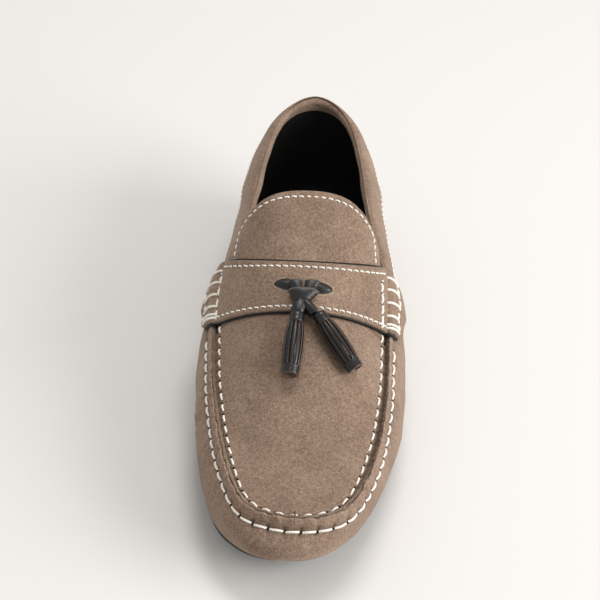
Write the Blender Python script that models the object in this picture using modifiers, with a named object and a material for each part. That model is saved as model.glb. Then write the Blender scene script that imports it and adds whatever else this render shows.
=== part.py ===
"""Driving loafer with tassels, left foot: a moccasin upper on a thin rubber sole.

Metres, +Z up. The toe points to -Y and the inner (medial) side of the foot to -X.
Every surface of the upper comes from one function, section(), which runs from the sole
edge up the wall, over the sewn ridge and across the vamp to the centre line.
"""
import math

import bmesh
import bpy
import numpy as np
from mathutils import Matrix, Vector

# Driving sizes of the last, in metres
LENGTH = 0.2850
BALL_WIDTH = 0.0985
INSTEP_HEIGHT = 0.104
HEEL_HEIGHT = 0.078

# The sole
TOE_SPRING = 0.0125
ARCH_RISE = 0.0012
FORE_SOLE_THICKNESS = 0.0056
HEEL_SOLE_THICKNESS = 0.0110
SOLE_TOE_SETBACK = 0.0105
SOLE_HEEL_SETBACK = 0.0065
SOLE_GROOVE = 0.0006

# The upper
WALL_THICKNESS = 0.0020
RIM_TOE_SETBACK = 0.0070
RIM_HEEL_SETBACK = 0.0025
SEAM_WIDTH = 0.0050
SIDE_SEAM_WIDTH = 0.0038
SEAM_NARROWS = (0.06, 0.32)
VAMP_STEP = 0.0040
RIDGE_HEIGHT = 0.0020
THROAT_FROM_TOE = 0.1110
RIDGE_END_FROM_TOE = 0.1420

# Pieces laid on the upper
CLEARANCE = 0.0003
INSOLE_THICKNESS = 0.0020
INSOLE_EDGE_GAP = 0.0010
TONGUE_THICKNESS = 0.0015
TONGUE_FROM_TOE = 0.1620
TONGUE_CORNER = 0.0050
STRAP_THICKNESS = 0.0016
STRAP_FROM_TOE = 0.1083
STRAP_WIDTH = 0.0222
STRAP_FRONT_RAKE = 0.56
STRAP_BACK_RAKE = 1.18
TAB_END_FROM_TOE = 0.1540
STRAP_EASE = 0.0004
BAND_THICKNESS = 0.0012
BAND_HEIGHT = 0.0180
BAND_FROM_TOE = 0.1430
BAND_RAMP = 0.0060
BAND_CORNER = 0.0070

# The tassels and their lace
TASSEL_LENGTH = 0.0310
TASSEL_RADIUS = 0.0048
TASSEL_STRIPS = 12
TASSEL_SLIT = 0.0013
TASSEL_RECESS = 0.0020
TASSEL_FROM_TOE = 0.1063
TASSEL_MEDIAL_ANGLE = -4.0
TASSEL_LATERAL_ANGLE = 42.0
TASSEL_MEDIAL_PLACE = 0.0021
TASSEL_LATERAL_PLACE = 0.0050
TASSEL_LIFT = 1.1
KNOT_FROM_TOE = 0.1160
KNOT_WIDTH = 0.0135
KNOT_LENGTH = 0.0130
KNOT_HEIGHT = 0.0050

# How finely the surfaces are divided
FORE_STATIONS = 17
WAIST_STATIONS = 4
REAR_STATIONS = 16
TOE_BLEND = 0.01
PROBE_ALONG = 0.004
PROBE_ACROSS = 0.03
MEDIAL, LATERAL = 1, -1
MEDIAL_X = -1

# Half the vamp's width at the ball, between its stitch rows, and a point inside the foot
VAMP_HALF_WIDTH = 0.43 * BALL_WIDTH
INSIDE = Vector((0, 0, 0.4 * HEEL_HEIGHT))

# The finish of each piece, as photographed: taupe suede, black rubber and black leather.
FINISH_COLUMNS = ("piece", "colour", "roughness", "metallic")
FINISHES = (
    ("upper", "#8F7868", 0.92, 0.0),
    ("outsole", "#2A2A2B", 0.62, 0.0),
    ("insole", "#141414", 0.46, 0.0),
    ("tongue", "#937C6C", 0.92, 0.0),
    ("strap", "#8C7565", 0.92, 0.0),
    ("collar_band", "#917A6A", 0.92, 0.0),
    ("lace_knot", "#252526", 0.42, 0.0),
    ("tassel_medial", "#2B2B2C", 0.40, 0.0),
    ("tassel_lateral", "#2B2B2C", 0.40, 0.0),
)

# One row for each station from the toe (along 0) to the heel (along 1).
# Half widths are shares of BALL_WIDTH and heights of HEEL_HEIGHT; crown is a share of INSTEP_HEIGHT.
LAST_COLUMNS = ("along", "bulge_medial", "bulge_lateral", "rim_medial", "rim_lateral", "bulge_up",
                "rim_up_medial", "rim_up_lateral", "crown", "fullness")
LAST = (
    (0.000, 0.025, -0.025, -0.010, 0.010, 0.360, 0.465, 0.465, 0.388, 0.00),
    (0.025, 0.215, 0.178, 0.218, 0.238, 0.360, 0.470, 0.458, 0.395, 0.00),
    (0.090, 0.350, 0.312, 0.315, 0.340, 0.345, 0.490, 0.460, 0.420, 0.00),
    (0.200, 0.440, 0.425, 0.390, 0.408, 0.325, 0.520, 0.475, 0.500, 0.00),
    (0.310, 0.483, 0.490, 0.432, 0.430, 0.310, 0.575, 0.525, 0.640, 0.00),
    (0.410, 0.500, 0.500, 0.447, 0.432, 0.305, 0.645, 0.620, 0.760, 0.05),
    (0.510, 0.475, 0.490, 0.410, 0.402, 0.305, 0.730, 0.735, 0.925, 0.55),
    (0.600, 0.430, 0.450, 0.340, 0.355, 0.315, 0.775, 0.765, 1.030, 1.00),
    (0.720, 0.390, 0.405, 0.285, 0.295, 0.335, 0.835, 0.805, 1.100, 1.00),
    (0.840, 0.365, 0.370, 0.240, 0.250, 0.355, 0.915, 0.885, 1.100, 1.00),
    (0.930, 0.305, 0.305, 0.185, 0.190, 0.360, 0.965, 0.955, 1.100, 1.00),
    (0.980, 0.185, 0.185, 0.103, 0.103, 0.360, 0.992, 0.992, 1.100, 1.00),
    (1.000, 0.000, 0.000, 0.000, 0.000, 0.360, 1.000, 1.000, 1.100, 1.00),
)

# The sole's outline at its top edge, the lift of its underside, and its growth towards the heel.
SOLE_COLUMNS = ("along", "medial", "lateral", "spring", "arch", "heel")
SOLE = (
    (0.000, 0.030, -0.030, 1.000, 0.0, 0.00),
    (0.025, 0.225, 0.155, 0.800, 0.0, 0.00),
    (0.090, 0.352, 0.285, 0.520, 0.0, 0.00),
    (0.200, 0.425, 0.390, 0.225, 0.0, 0.00),
    (0.300, 0.450, 0.443, 0.050, 0.0, 0.00),
    (0.360, 0.445, 0.463, 0.000, 0.0, 0.00),
    (0.450, 0.410, 0.468, 0.000, 0.0, 0.00),
    (0.520, 0.370, 0.460, 0.000, 0.8, 0.00),
    (0.600, 0.330, 0.430, 0.000, 1.0, 0.02),
    (0.700, 0.317, 0.385, 0.000, 0.6, 0.12),
    (0.800, 0.320, 0.347, 0.000, 0.0, 0.45),
    (0.930, 0.285, 0.287, 0.000, 0.0, 0.95),
    (0.980, 0.175, 0.175, 0.000, 0.0, 1.00),
    (1.000, 0.000, 0.000, 0.000, 0.0, 1.00),
)

# The sole's edge from its top corner down: a lip, a groove and a rounded foot.
# Inset is in units of SOLE_GROOVE, and up is a share of the sole's thickness.
SOLE_EDGE = ((0.0, 1.00), (0.0, 0.84), (1.0, 0.80), (1.0, 0.74), (0.0, 0.70), (0.3, 0.38), (1.6, 0.10), (3.4, 0.00))

# Where rows of points run along the skin, so that pieces laid on it bend at the same places.
RIDGE_ROWS = (1.15, 1.35, 1.6, 1.85, 2.0)
VAMP_ROWS = (2.03, 2.09, 2.2, 2.36, 2.54, 2.76, 3.0)

# The rounded lower edge of the strap's tab: how far down the wall it ends, from its front to its back.
TAB_COLUMNS = ("back", "across")
TAB = ((0.00, 0.96), (0.12, 0.865), (0.50, 0.815), (0.80, 0.835), (0.93, 0.88), (1.00, 0.96))
TAB_ROWS = (0.33, 0.67, 1.0)

# The strap bridges the stitched valley between ridge and vamp.
STRAP_ROWS = (1.0, 1.15, 1.35, 1.6, 1.8, 2.03, 2.09, 2.2, 2.36, 2.54, 2.76, 3.0)


# A tassel from its top down: how far along, how wide, and how deep the slits are.
TASSEL_COLUMNS = ("along", "radius", "slit")
TASSEL = (
    (0.00, 0.40, 0.0),
    (0.02, 0.62, 0.0),
    (0.14, 0.71, 0.0),
    (0.17, 0.75, 0.6),
    (0.22, 0.83, 1.0),
    (0.38, 0.97, 1.0),
    (0.55, 1.00, 1.0),
    (0.72, 0.97, 1.0),
    (0.83, 0.90, 1.0),
    (0.87, 0.86, 0.6),
    (0.90, 0.83, 0.0),
    (1.00, 0.80, 0.0),
    (1.00, 0.62, 0.0),
    (1.00, 0.56, 0.0),
)

# The rounded lumps of the knot, in shares of its width, length and height: two wings that come out of
# the strap's slits, and two folded loops. Place, half sizes, and turn in degrees.
LUMP_COLUMNS = ("x", "y", "z", "half_x", "half_y", "half_z", "turn")
LUMPS = (
    (0.68, 0.24, 0.30, 0.34, 0.22, 0.26, 4),
    (-0.68, 0.24, 0.30, 0.34, 0.22, 0.26, -4),
    (0.21, 0.25, 0.62, 0.21, 0.24, 0.46, -14),
    (-0.21, 0.25, 0.62, 0.21, 0.24, 0.46, 14),
)

# The lengths of lace wound round it, from the heel side to the toe side: the funnel and the neck.
# Where each starts and ends, its half widths there, and its half height.
WRAP_COLUMNS = ("start", "end", "half_start", "half_end", "z", "half_z")
WRAPS = (
    (0.14, -0.34, 0.52, 0.24, 0.52, 0.46),
    (-0.30, -0.78, 0.26, 0.31, 0.54, 0.42),
)


def steady(xs, ys, x):
    """A smooth curve through the points that never overshoots between two of them."""
    xs, ys, x = (np.asarray(values, float) for values in (xs, ys, x))
    step = np.diff(xs)
    rise = np.diff(ys) / step
    slope = np.zeros(len(xs))
    for i in range(1, len(xs) - 1):
        if rise[i - 1] * rise[i] > 0:
            before, after = 2 * step[i] + step[i - 1], step[i] + 2 * step[i - 1]
            slope[i] = (before + after) / (before / rise[i - 1] + after / rise[i])
    slope[0], slope[-1] = rise[0], rise[-1]
    i = np.clip(np.searchsorted(xs, x) - 1, 0, len(xs) - 2)
    t = np.clip((x - xs[i]) / step[i], 0, 1)
    return ((1 + 2 * t) * (1 - t) ** 2 * ys[i] + t * (1 - t) ** 2 * step[i] * slope[i]
            + t * t * (3 - 2 * t) * ys[i + 1] + t * t * (t - 1) * step[i] * slope[i + 1])


def turn(along):
    """Stations are spaced by angle, so that toe and heel come out round."""
    return np.arccos(1 - 2 * np.clip(along, 0, 1))


def read(table, columns, name, along):
    values = np.array(table)
    return steady(turn(values[:, 0]), values[:, columns.index(name)], turn(along))


def last(name, along):
    return read(LAST, LAST_COLUMNS, name, along)


def sole(name, along):
    return read(SOLE, SOLE_COLUMNS, name, along)


def side_name(side):
    return "medial" if side == MEDIAL else "lateral"


def along_points(side, half_width, setback_toe, setback_heel, along):
    """Plan position, with the outward direction of the side and the distance from the toe."""
    across = MEDIAL_X * side * half_width * BALL_WIDTH
    back = setback_toe + along * (LENGTH - setback_toe - setback_heel)
    return np.stack([across, back - LENGTH / 2], -1)


def sole_bottom(along):
    return sole("spring", along) * TOE_SPRING + sole("arch", along) * ARCH_RISE


def sole_top(along):
    growth = (HEEL_SOLE_THICKNESS - FORE_SOLE_THICKNESS) * sole("heel", along)
    return sole("spring", along) * TOE_SPRING + FORE_SOLE_THICKNESS + growth


def sole_outline(side, along):
    return along_points(side, sole(side_name(side), along), SOLE_TOE_SETBACK, SOLE_HEEL_SETBACK, along)


def rim_height(side, along):
    return last("rim_up_" + side_name(side), along) * HEEL_HEIGHT


def wall(side, along, up):
    """The wall of the upper: up 0 at the sole and 1 at the rim, as a share of its height."""
    name = side_name(side)
    foot = sole_outline(side, along)
    bulge = along_points(side, last("bulge_" + name, along), 0, 0, along)
    rim = along_points(side, last("rim_" + name, along), RIM_TOE_SETBACK, RIM_HEEL_SETBACK, along)
    low = sole_top(along) + CLEARANCE
    widest = last("bulge_up", along) * HEEL_HEIGHT
    high = rim_height(side, along)
    z = low + (high - low) * up
    below = np.clip((z - low) / (widest - low), 0, 1)
    above = np.clip((z - widest) / (high - widest), 0, 1)
    swell = ((1 - (1 - below) ** 2.2) ** 0.8)[..., None]
    lean = (above ** (2.1 + 0.7 * along))[..., None]
    plan = np.where((z <= widest)[..., None], foot + (bulge - foot) * swell, bulge + (rim - bulge) * lean)
    return np.concatenate([plan, z[..., None]], -1)


def seam_width(along):
    """How wide the ridge is in plan: it stands steeper at the sides than round the toe."""
    share = np.clip((along - SEAM_NARROWS[0]) / (SEAM_NARROWS[1] - SEAM_NARROWS[0]), 0, 1)
    return SEAM_WIDTH + (SIDE_SEAM_WIDTH - SEAM_WIDTH) * share * share * (3 - 2 * share)


def vamp_edge(side, along):
    """The inner stitch row, where the ridge comes down to the vamp."""
    narrowing = 1 - seam_width(along) / VAMP_HALF_WIDTH
    half = last("rim_" + side_name(side), along) * narrowing
    plan = along_points(side, half, RIM_TOE_SETBACK, RIM_HEEL_SETBACK, along)
    back = plan[..., 1] + SEAM_WIDTH * (1 - along)
    return np.stack([plan[..., 0], back, rim_height(side, along) + VAMP_STEP], -1)


def vamp(side, along, inward):
    """The crowned top: inward 0 at the inner stitch row and 1 on the centre line."""
    near, far = vamp_edge(side, along), vamp_edge(-side, along)
    middle = 0.5 * (near + far)
    full = last("fullness", along)
    arch = (1 - (1 - inward) ** (2.3 + 0.4 * full)) ** (1 / (1 + 1.7 * full))
    rise = (last("crown", along) * INSTEP_HEIGHT - near[..., 2]) * np.clip(along / TOE_BLEND, 0, 1)
    x = near[..., 0] + (middle[..., 0] - near[..., 0]) * inward
    z = near[..., 2] + rise * arch
    return np.stack([x, near[..., 1], z], -1)


def section(side, along, across):
    """One point of the outer skin: across 0 to 1 is the wall, 1 to 2 the ridge, 2 to 3 the vamp."""
    along, across = np.broadcast_arrays(np.asarray(along, float), np.asarray(across, float))
    low = wall(side, along, np.clip(across, 0, 1))
    edge = vamp_edge(side, along)
    t = np.clip(across - 1, 0, 1)
    rise = VAMP_STEP * (np.sin(t * math.pi / 2) ** 0.8 - t) + RIDGE_HEIGHT * np.sin(np.pi * t ** 0.9) ** 0.8
    ridge = low + (edge - low) * t[..., None]
    ridge[..., 2] += rise
    high = vamp(side, along, np.clip(across - 2, 0, 1))
    point = np.where((across <= 1)[..., None], low, ridge)
    return np.where((across > 2)[..., None], high, point)


def station(side, from_toe, across):
    """The share along the last at which the skin is this far from the toe."""
    along = from_toe / LENGTH + 0 * across
    for _ in range(6):
        along = np.clip(along + (from_toe - LENGTH / 2 - section(side, along, across)[..., 1]) / LENGTH, 0, 1)
    return along


def lifted(side, along, across, lift):
    """The skin moved outwards along its own normal."""
    before, after = np.clip(along - PROBE_ALONG, 0, 1), np.clip(along + PROBE_ALONG, 0, 1)
    down, up = np.clip(across - PROBE_ACROSS, 0, 3), np.clip(across + PROBE_ACROSS, 0, 3)
    run = section(side, after, across) - section(side, before, across)
    climb = section(side, along, up) - section(side, along, down)
    normal = np.cross(climb, run) * side * -MEDIAL_X
    normal /= np.maximum(np.linalg.norm(normal, axis=-1, keepdims=True), 1e-9)
    return section(side, along, across) + normal * np.asarray(lift)[..., None]


def linear(code):
    """An sRGB hex colour as Blender's linear values."""
    shares = [int(code[i:i + 2], 16) / 255 for i in (1, 3, 5)]
    return [c / 12.92 if c <= 0.04045 else ((c + 0.055) / 1.055) ** 2.4 for c in shares] + [1.0]


def finish_of(name):
    """The piece's own material, from the table of finishes."""
    piece = next(dict(zip(FINISH_COLUMNS, row)) for row in FINISHES if row[0] == name)
    material = bpy.data.materials.new(name)
    material.use_nodes = True
    surface = material.node_tree.nodes["Principled BSDF"]
    surface.inputs["Base Color"].default_value = linear(piece["colour"])
    surface.inputs["Roughness"].default_value = piece["roughness"]
    surface.inputs["Metallic"].default_value = piece["metallic"]
    return material


def new_object(name, mesh, collection):
    item = bpy.data.objects.new(name, mesh)
    item.data.materials.append(finish_of(name))
    collection.objects.link(item)
    return item


def skin_mesh(name, rows, closed=False):
    """A surface of quads through rows of points, each row going the same way."""
    mesh = bmesh.new()
    grid = [[mesh.verts.new(point) for point in row] for row in rows]
    for low, high in zip(grid, grid[1:]):
        count = len(low)
        for i in range(count if closed else count - 1):
            j = (i + 1) % count
            mesh.faces.new((low[i], low[j], high[j], high[i]))
    return finish_mesh(name, mesh)


def finish_mesh(name, mesh):
    bmesh.ops.remove_doubles(mesh, verts=mesh.verts, dist=0.00002)
    bmesh.ops.dissolve_degenerate(mesh, edges=mesh.edges, dist=0.00001)
    bmesh.ops.recalc_face_normals(mesh, faces=mesh.faces)
    data = bpy.data.meshes.new(name)
    mesh.to_mesh(data)
    mesh.free()
    data.shade_smooth()
    return data


def thicken(item, thickness, inward=True):
    shell = item.modifiers.new("Thickness", "SOLIDIFY")
    shell.thickness = thickness
    shell.offset = -1 if inward else 1
    shell.use_even_offset = False
    shell.use_rim = True
    return item


def face_out(data, centre):
    """Turns an open surface so that its normals point away from a centre."""
    total = sum((face.center - centre).dot(face.normal) * face.area for face in data.polygons)
    if total < 0:
        data.flip_normals()
    return data


def rim_turn(from_toe):
    """Where the rim is this far from the toe, as the angle that spaces the stations."""
    return float(turn(station(MEDIAL, from_toe, np.asarray(1.0))))


def stations():
    """Shares along the last: the vamp to the throat, the ridge to its end, and the quarters to the heel."""
    throat, ridge_end = rim_turn(THROAT_FROM_TOE), rim_turn(RIDGE_END_FROM_TOE)
    fore = np.linspace(0, throat, FORE_STATIONS)
    waist = np.linspace(throat, ridge_end, WAIST_STATIONS + 1)[1:]
    rear = np.linspace(ridge_end, math.pi, REAR_STATIONS + 1)[1:]
    return [(1 - np.cos(turns)) / 2 for turns in (fore, waist, rear)]


def make_upper(collection):
    """Wall, ridge and vamp in one skin, open at the collar and underneath, given its thickness."""
    fore, waist, rear = stations()
    alongs = np.concatenate([fore, waist, rear])
    around = [(MEDIAL, a) for a in alongs] + [(LATERAL, a) for a in alongs[-2:0:-1]]
    wall_rows = (0, 0.05, 0.13, 0.23, 0.35, 0.48, 0.62, 0.76, 0.89, 1.0)
    mesh = bmesh.new()
    rings = [[mesh.verts.new(section(side, a, up)) for side, a in around] for up in wall_rows]
    for low, high in zip(rings, rings[1:]):
        for i in range(len(around)):
            j = (i + 1) % len(around)
            mesh.faces.new((low[i], low[j], high[j], high[i]))
    for side in (MEDIAL, LATERAL):
        columns = []
        for i, a in enumerate(np.concatenate([fore, waist])):
            rim = rings[-1][i if side == MEDIAL else -i]
            rows = RIDGE_ROWS + VAMP_ROWS if i < len(fore) else RIDGE_ROWS
            columns.append([rim] + [mesh.verts.new(section(side, a, t)) for t in rows])
        for front, back in zip(columns, columns[1:]):
            for i in range(len(back) - 1):
                mesh.faces.new((front[i], back[i], back[i + 1], front[i + 1]))
    data = face_out(finish_mesh("upper", mesh), INSIDE)
    return thicken(new_object("upper", data, collection), WALL_THICKNESS)


def make_outsole(collection):
    """The rubber unit: its edge steps in and out, and both faces are lofted from side to side."""
    alongs = (1 - np.cos(np.linspace(0, math.pi, 41))) / 2
    around = [(MEDIAL, a) for a in alongs] + [(LATERAL, a) for a in alongs[-2:0:-1]]
    rows = []
    for inset, up in SOLE_EDGE:
        row = []
        for side, a in around:
            here = sole_outline(side, a)
            middle = 0.5 * (sole_outline(MEDIAL, a) + sole_outline(LATERAL, a))
            ends = np.array([middle[0], -LENGTH / 2 + LENGTH * (0.3 + 0.4 * a)])
            inwards = ends - here
            inwards /= np.linalg.norm(inwards)
            plan = here + inwards * inset * SOLE_GROOVE
            bottom, top = sole_bottom(a), sole_top(a)
            row.append((plan[0], plan[1], bottom + (top - bottom) * up))
        rows.append(row)
    mesh = bmesh.new()
    grid = [[mesh.verts.new(point) for point in row] for row in rows]
    count = len(around)
    for high, low in zip(grid, grid[1:]):
        for i in range(count):
            mesh.faces.new((high[i], high[(i + 1) % count], low[(i + 1) % count], low[i]))
    half = len(alongs) - 1
    for row in (grid[0], grid[-1]):
        for i in range(half):
            corners = [row[i], row[i + 1], row[-(i + 1) % count], row[-i % count]]
            mesh.faces.new(dict.fromkeys(corners))
    return new_object("outsole", finish_mesh("outsole", mesh), collection)


def make_insole(collection):
    """The sock: a flat sheet inside the wall, on top of the sole."""
    alongs = (1 - np.cos(np.linspace(0, math.pi, 33))) / 2
    rows = []
    for share in (1.0, 0.5, 0.0, -0.5, -1.0):
        row = []
        for a in alongs[1:-1]:
            side = MEDIAL if share >= 0 else LATERAL
            edge = sole_outline(side, a)
            middle = 0.5 * (sole_outline(MEDIAL, a) + sole_outline(LATERAL, a))
            half = abs(edge[0] - middle[0]) - WALL_THICKNESS - INSOLE_EDGE_GAP
            x = middle[0] + math.copysign(max(half, 0.0), edge[0] - middle[0]) * abs(share)
            squeeze = 1 - 2 * (WALL_THICKNESS + INSOLE_EDGE_GAP) / LENGTH
            row.append((x, edge[1] * squeeze, sole_top(a) + CLEARANCE))
        rows.append(row)
    data = skin_mesh("insole", rows)
    if data.polygons[0].normal.z < 0:
        data.flip_normals()
    return thicken(new_object("insole", data, collection), INSOLE_THICKNESS, inward=False)


def make_tongue(collection):
    """The vamp's free end: it starts at the throat, under the strap, and stands up behind it."""
    throat = (1 - math.cos(rim_turn(THROAT_FROM_TOE))) / 2
    edge = 2 + CLEARANCE / VAMP_HALF_WIDTH
    half = (edge,) + VAMP_ROWS
    rows = []
    for side, places in ((MEDIAL, half), (LATERAL, half[-2::-1])):
        for across in places:
            start = section(side, throat, across)[1] + LENGTH / 2 + CLEARANCE
            end = TONGUE_FROM_TOE - TONGUE_CORNER * (3 - across) ** 4
            from_toe = np.linspace(start, end, 10)
            along = station(side, from_toe, np.full_like(from_toe, across))
            rows.append(section(side, along, across))
    data = face_out(skin_mesh("tongue", rows), INSIDE)
    return thicken(new_object("tongue", data, collection), TONGUE_THICKNESS)


def raked(side, across, from_toe, rake):
    """The share along the last at which the skin meets an edge that runs back as it goes down."""
    furthest = TAB_END_FROM_TOE - LENGTH / 2
    top = section(side, station(side, from_toe, np.asarray(3.0)), 3.0)[2]
    along = from_toe / LENGTH + 0 * across
    for _ in range(20):
        here = section(side, along, across)
        edge = from_toe - LENGTH / 2 + rake * (top - here[..., 2])
        error = np.minimum(edge, furthest) - here[..., 1]
        along = np.clip(along + 0.6 * error / LENGTH, 0, 1)
    return along


def strap_point(side, across, back):
    """A point over the skin: across runs down to 0 at the tab's lower edge, back from 0 to 1."""
    tab = np.array(TAB)
    lowest = steady(tab[:, 0], tab[:, 1], back)
    across = np.where(across < 1, lowest + (1 - lowest) * across, across)
    front = raked(side, across, STRAP_FROM_TOE, STRAP_FRONT_RAKE)
    rear = raked(side, across, STRAP_FROM_TOE + STRAP_WIDTH, STRAP_BACK_RAKE)
    along = front + (rear - front) * back
    return lifted(side, along, across, CLEARANCE + STRAP_EASE + band_lift(side, along, across))


def make_strap(collection):
    """The saddle across the vamp, over both ridges, with a rounded tab on each wall."""
    rows = []
    half = tuple(1 - share for share in TAB_ROWS[::-1]) + STRAP_ROWS
    back = np.array([0, 0.05, 0.15, 0.3, 0.45, 0.6, 0.75, 0.88, 0.95, 1.0])
    for side, places in ((MEDIAL, half), (LATERAL, half[-2::-1])):
        for across in places:
            rows.append(strap_point(side, np.full_like(back, across), back))
    data = face_out(skin_mesh("strap", rows), INSIDE)
    return thicken(new_object("strap", data, collection), STRAP_THICKNESS, inward=False)


def band_lift(side, along, across):
    """How much higher a piece lies where it runs up over the front end of the collar band."""
    from_toe = section(side, along, across)[..., 1] + LENGTH / 2
    over = np.clip((from_toe - BAND_FROM_TOE) / BAND_RAMP + 2, 0, 1)
    beside = np.clip((1.6 - across) / 0.5, 0, 1)
    rise = over * over * (3 - 2 * over) * beside
    return rise * (BAND_THICKNESS + CLEARANCE)


def make_collar_band(collection):
    """The band sewn on along the topline, from one tab round the heel to the other."""
    start = rim_turn(BAND_FROM_TOE)
    turns = np.concatenate([start + 0.03 * np.array([0, 1, 2.5]), np.linspace(start + 0.14, math.pi, 20)])
    alongs = (1 - np.cos(turns)) / 2
    around = [(MEDIAL, a) for a in alongs] + [(LATERAL, a) for a in alongs[-2::-1]]
    rows = []
    for side, a in around:
        corner = min(1, max(0, section(side, a, 1.0)[1] + LENGTH / 2 - BAND_FROM_TOE) / BAND_CORNER)
        height = BAND_HEIGHT - BAND_CORNER * (1 - math.sqrt(corner * (2 - corner)))
        depth = height / (rim_height(side, a) - sole_top(a))
        up = 1 - depth * np.array([1.0, 0.75, 0.5, 0.25, 0.0])
        rows.append(lifted(side, np.full_like(up, a), up, np.full_like(up, CLEARANCE)))
    data = face_out(skin_mesh("collar_band", rows), INSIDE + Vector((0, 0.2 * LENGTH, 0)))
    return thicken(new_object("collar_band", data, collection), BAND_THICKNESS, inward=False)


def over_vamp(x, from_toe):
    """A point on the crown of the vamp: x is measured to the wearer's inner side."""
    side = MEDIAL if x >= 0 else LATERAL
    across = np.linspace(2.0, 3.0, 41)
    skin = section(side, station(side, from_toe, across), across)
    inwards = skin[:, 0] * MEDIAL_X * side
    z = np.interp(abs(x), inwards[::-1], skin[::-1, 2])
    return Vector((MEDIAL_X * x, from_toe - LENGTH / 2, float(z)))


def make_tassel(name, x, angle, collection):
    """A rolled strip of leather, slit into straps between its top band and its bottom ring."""
    profile = np.array(TASSEL)
    around = np.linspace(0, 2 * math.pi, TASSEL_STRIPS * 3, endpoint=False)
    slit = np.tile([1.0, 0.0, 0.0], TASSEL_STRIPS)
    mesh = bmesh.new()
    rings = []
    for along, radius, depth in profile:
        r = TASSEL_RADIUS * radius - TASSEL_SLIT * depth * slit
        z = -TASSEL_LENGTH * along + (TASSEL_RECESS if len(rings) == len(profile) - 1 else 0)
        rings.append([mesh.verts.new((r[i] * math.cos(t), r[i] * math.sin(t), z)) for i, t in enumerate(around)])
    for high, low in zip(rings, rings[1:]):
        for i in range(len(around)):
            j = (i + 1) % len(around)
            mesh.faces.new((high[i], low[i], low[j], high[j]))
    mesh.faces.new(rings[0])
    mesh.faces.new(rings[-1][::-1])
    item = new_object(name, finish_mesh(name, mesh), collection)
    lift = TASSEL_RADIUS + CLEARANCE
    start = over_vamp(x, TASSEL_FROM_TOE)
    run = TASSEL_LENGTH * 0.85
    heading = math.radians(angle)
    end = over_vamp(x - run * math.sin(heading), TASSEL_FROM_TOE - run * math.cos(heading))
    axis = (end - start).normalized()
    up = (Vector((0, 0, 1)) - axis * axis.z).normalized()
    item.location = start + up * lift * TASSEL_LIFT
    item.rotation_euler = (-axis).to_track_quat("Z", "Y").to_euler()
    return item


def lump(name, mesh, place, collection):
    """A closed form moved to its place, as an object for the knot to be joined from."""
    bmesh.ops.transform(mesh, matrix=place, verts=mesh.verts)
    data = bpy.data.meshes.new(name)
    mesh.to_mesh(data)
    mesh.free()
    item = bpy.data.objects.new(name, data)
    collection.objects.link(item)
    item.hide_render = True
    item.display_type = "WIRE"
    return item


def rounded(frame, row, collection):
    """A wing or a loop: a ball stretched to its half sizes."""
    part = dict(zip(LUMP_COLUMNS, row))
    mesh = bmesh.new()
    bmesh.ops.create_uvsphere(mesh, u_segments=14, v_segments=8, radius=1.0)
    place = frame @ Matrix.Translation((part["x"] * KNOT_WIDTH, part["y"] * KNOT_LENGTH, part["z"] * KNOT_HEIGHT))
    place = place @ Matrix.Rotation(math.radians(part["turn"]), 4, "Z")
    size = (part["half_x"] * KNOT_WIDTH, part["half_y"] * KNOT_LENGTH, part["half_z"] * KNOT_HEIGHT, 1)
    return lump("lump", mesh, place @ Matrix.Diagonal(size), collection)


def wound(frame, row, collection):
    """A length of wound lace: a cone along the knot, flattened to its half height."""
    part = dict(zip(WRAP_COLUMNS, row))
    mesh = bmesh.new()
    depth = (part["start"] - part["end"]) * KNOT_LENGTH
    flatten = part["half_z"] * KNOT_HEIGHT / (part["half_start"] * KNOT_WIDTH)
    bmesh.ops.create_cone(mesh, cap_ends=True, segments=18, radius1=part["half_start"] * KNOT_WIDTH,
                          radius2=part["half_end"] * KNOT_WIDTH, depth=depth)
    middle = 0.5 * (part["start"] + part["end"]) * KNOT_LENGTH
    place = frame @ Matrix.Translation((0, middle, part["z"] * KNOT_HEIGHT))
    along = Matrix.Rotation(math.pi / 2, 4, "X")
    return lump("wrap", mesh, place @ Matrix.Diagonal((1, 1, flatten, 1)) @ along, collection)


def make_knot(collection, cutters):
    """The tied lace: two wings from the slits, two loops, the funnel that holds them and the neck."""
    run = 0.5 * KNOT_LENGTH
    back = over_vamp(0, KNOT_FROM_TOE + run) - over_vamp(0, KNOT_FROM_TOE - run)
    slope = math.atan2(back.z, back.y)
    above = Vector((0, 0, STRAP_EASE + STRAP_THICKNESS + 2 * CLEARANCE))
    frame = Matrix.Translation(over_vamp(0, KNOT_FROM_TOE)) @ Matrix.Rotation(slope, 4, "X")
    frame = frame @ Matrix.Translation(above)
    pieces = [wound(frame, row, cutters) for row in WRAPS] + [rounded(frame, row, cutters) for row in LUMPS]
    knot = new_object("lace_knot", pieces[0].data.copy(), collection)
    for piece in pieces[1:]:
        join = knot.modifiers.new("Join", "BOOLEAN")
        join.operation = "UNION"
        join.solver = "EXACT"
        join.object = piece
    return knot


def main():
    for item in list(bpy.data.objects):
        bpy.data.objects.remove(item, do_unlink=True)
    shoe = bpy.data.collections.new("Tassel loafer")
    cutters = bpy.data.collections.new("Cutters")
    bpy.context.scene.collection.children.link(shoe)
    bpy.context.scene.collection.children.link(cutters)
    make_upper(shoe)
    make_outsole(shoe)
    make_insole(shoe)
    make_tongue(shoe)
    make_strap(shoe)
    make_collar_band(shoe)
    make_knot(shoe, cutters)
    make_tassel("tassel_medial", TASSEL_MEDIAL_PLACE, TASSEL_MEDIAL_ANGLE, shoe)
    make_tassel("tassel_lateral", -TASSEL_LATERAL_PLACE, TASSEL_LATERAL_ANGLE, shoe)


main()
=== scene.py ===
"""A tassel loafer for the left foot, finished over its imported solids.

Metres, +Z up. The toe points to -Y and the inner (medial) side of the foot to -X.
Taupe suede sewn with white thread, black leather inside, and a black lace with two tassels.
"""
import math

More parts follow.
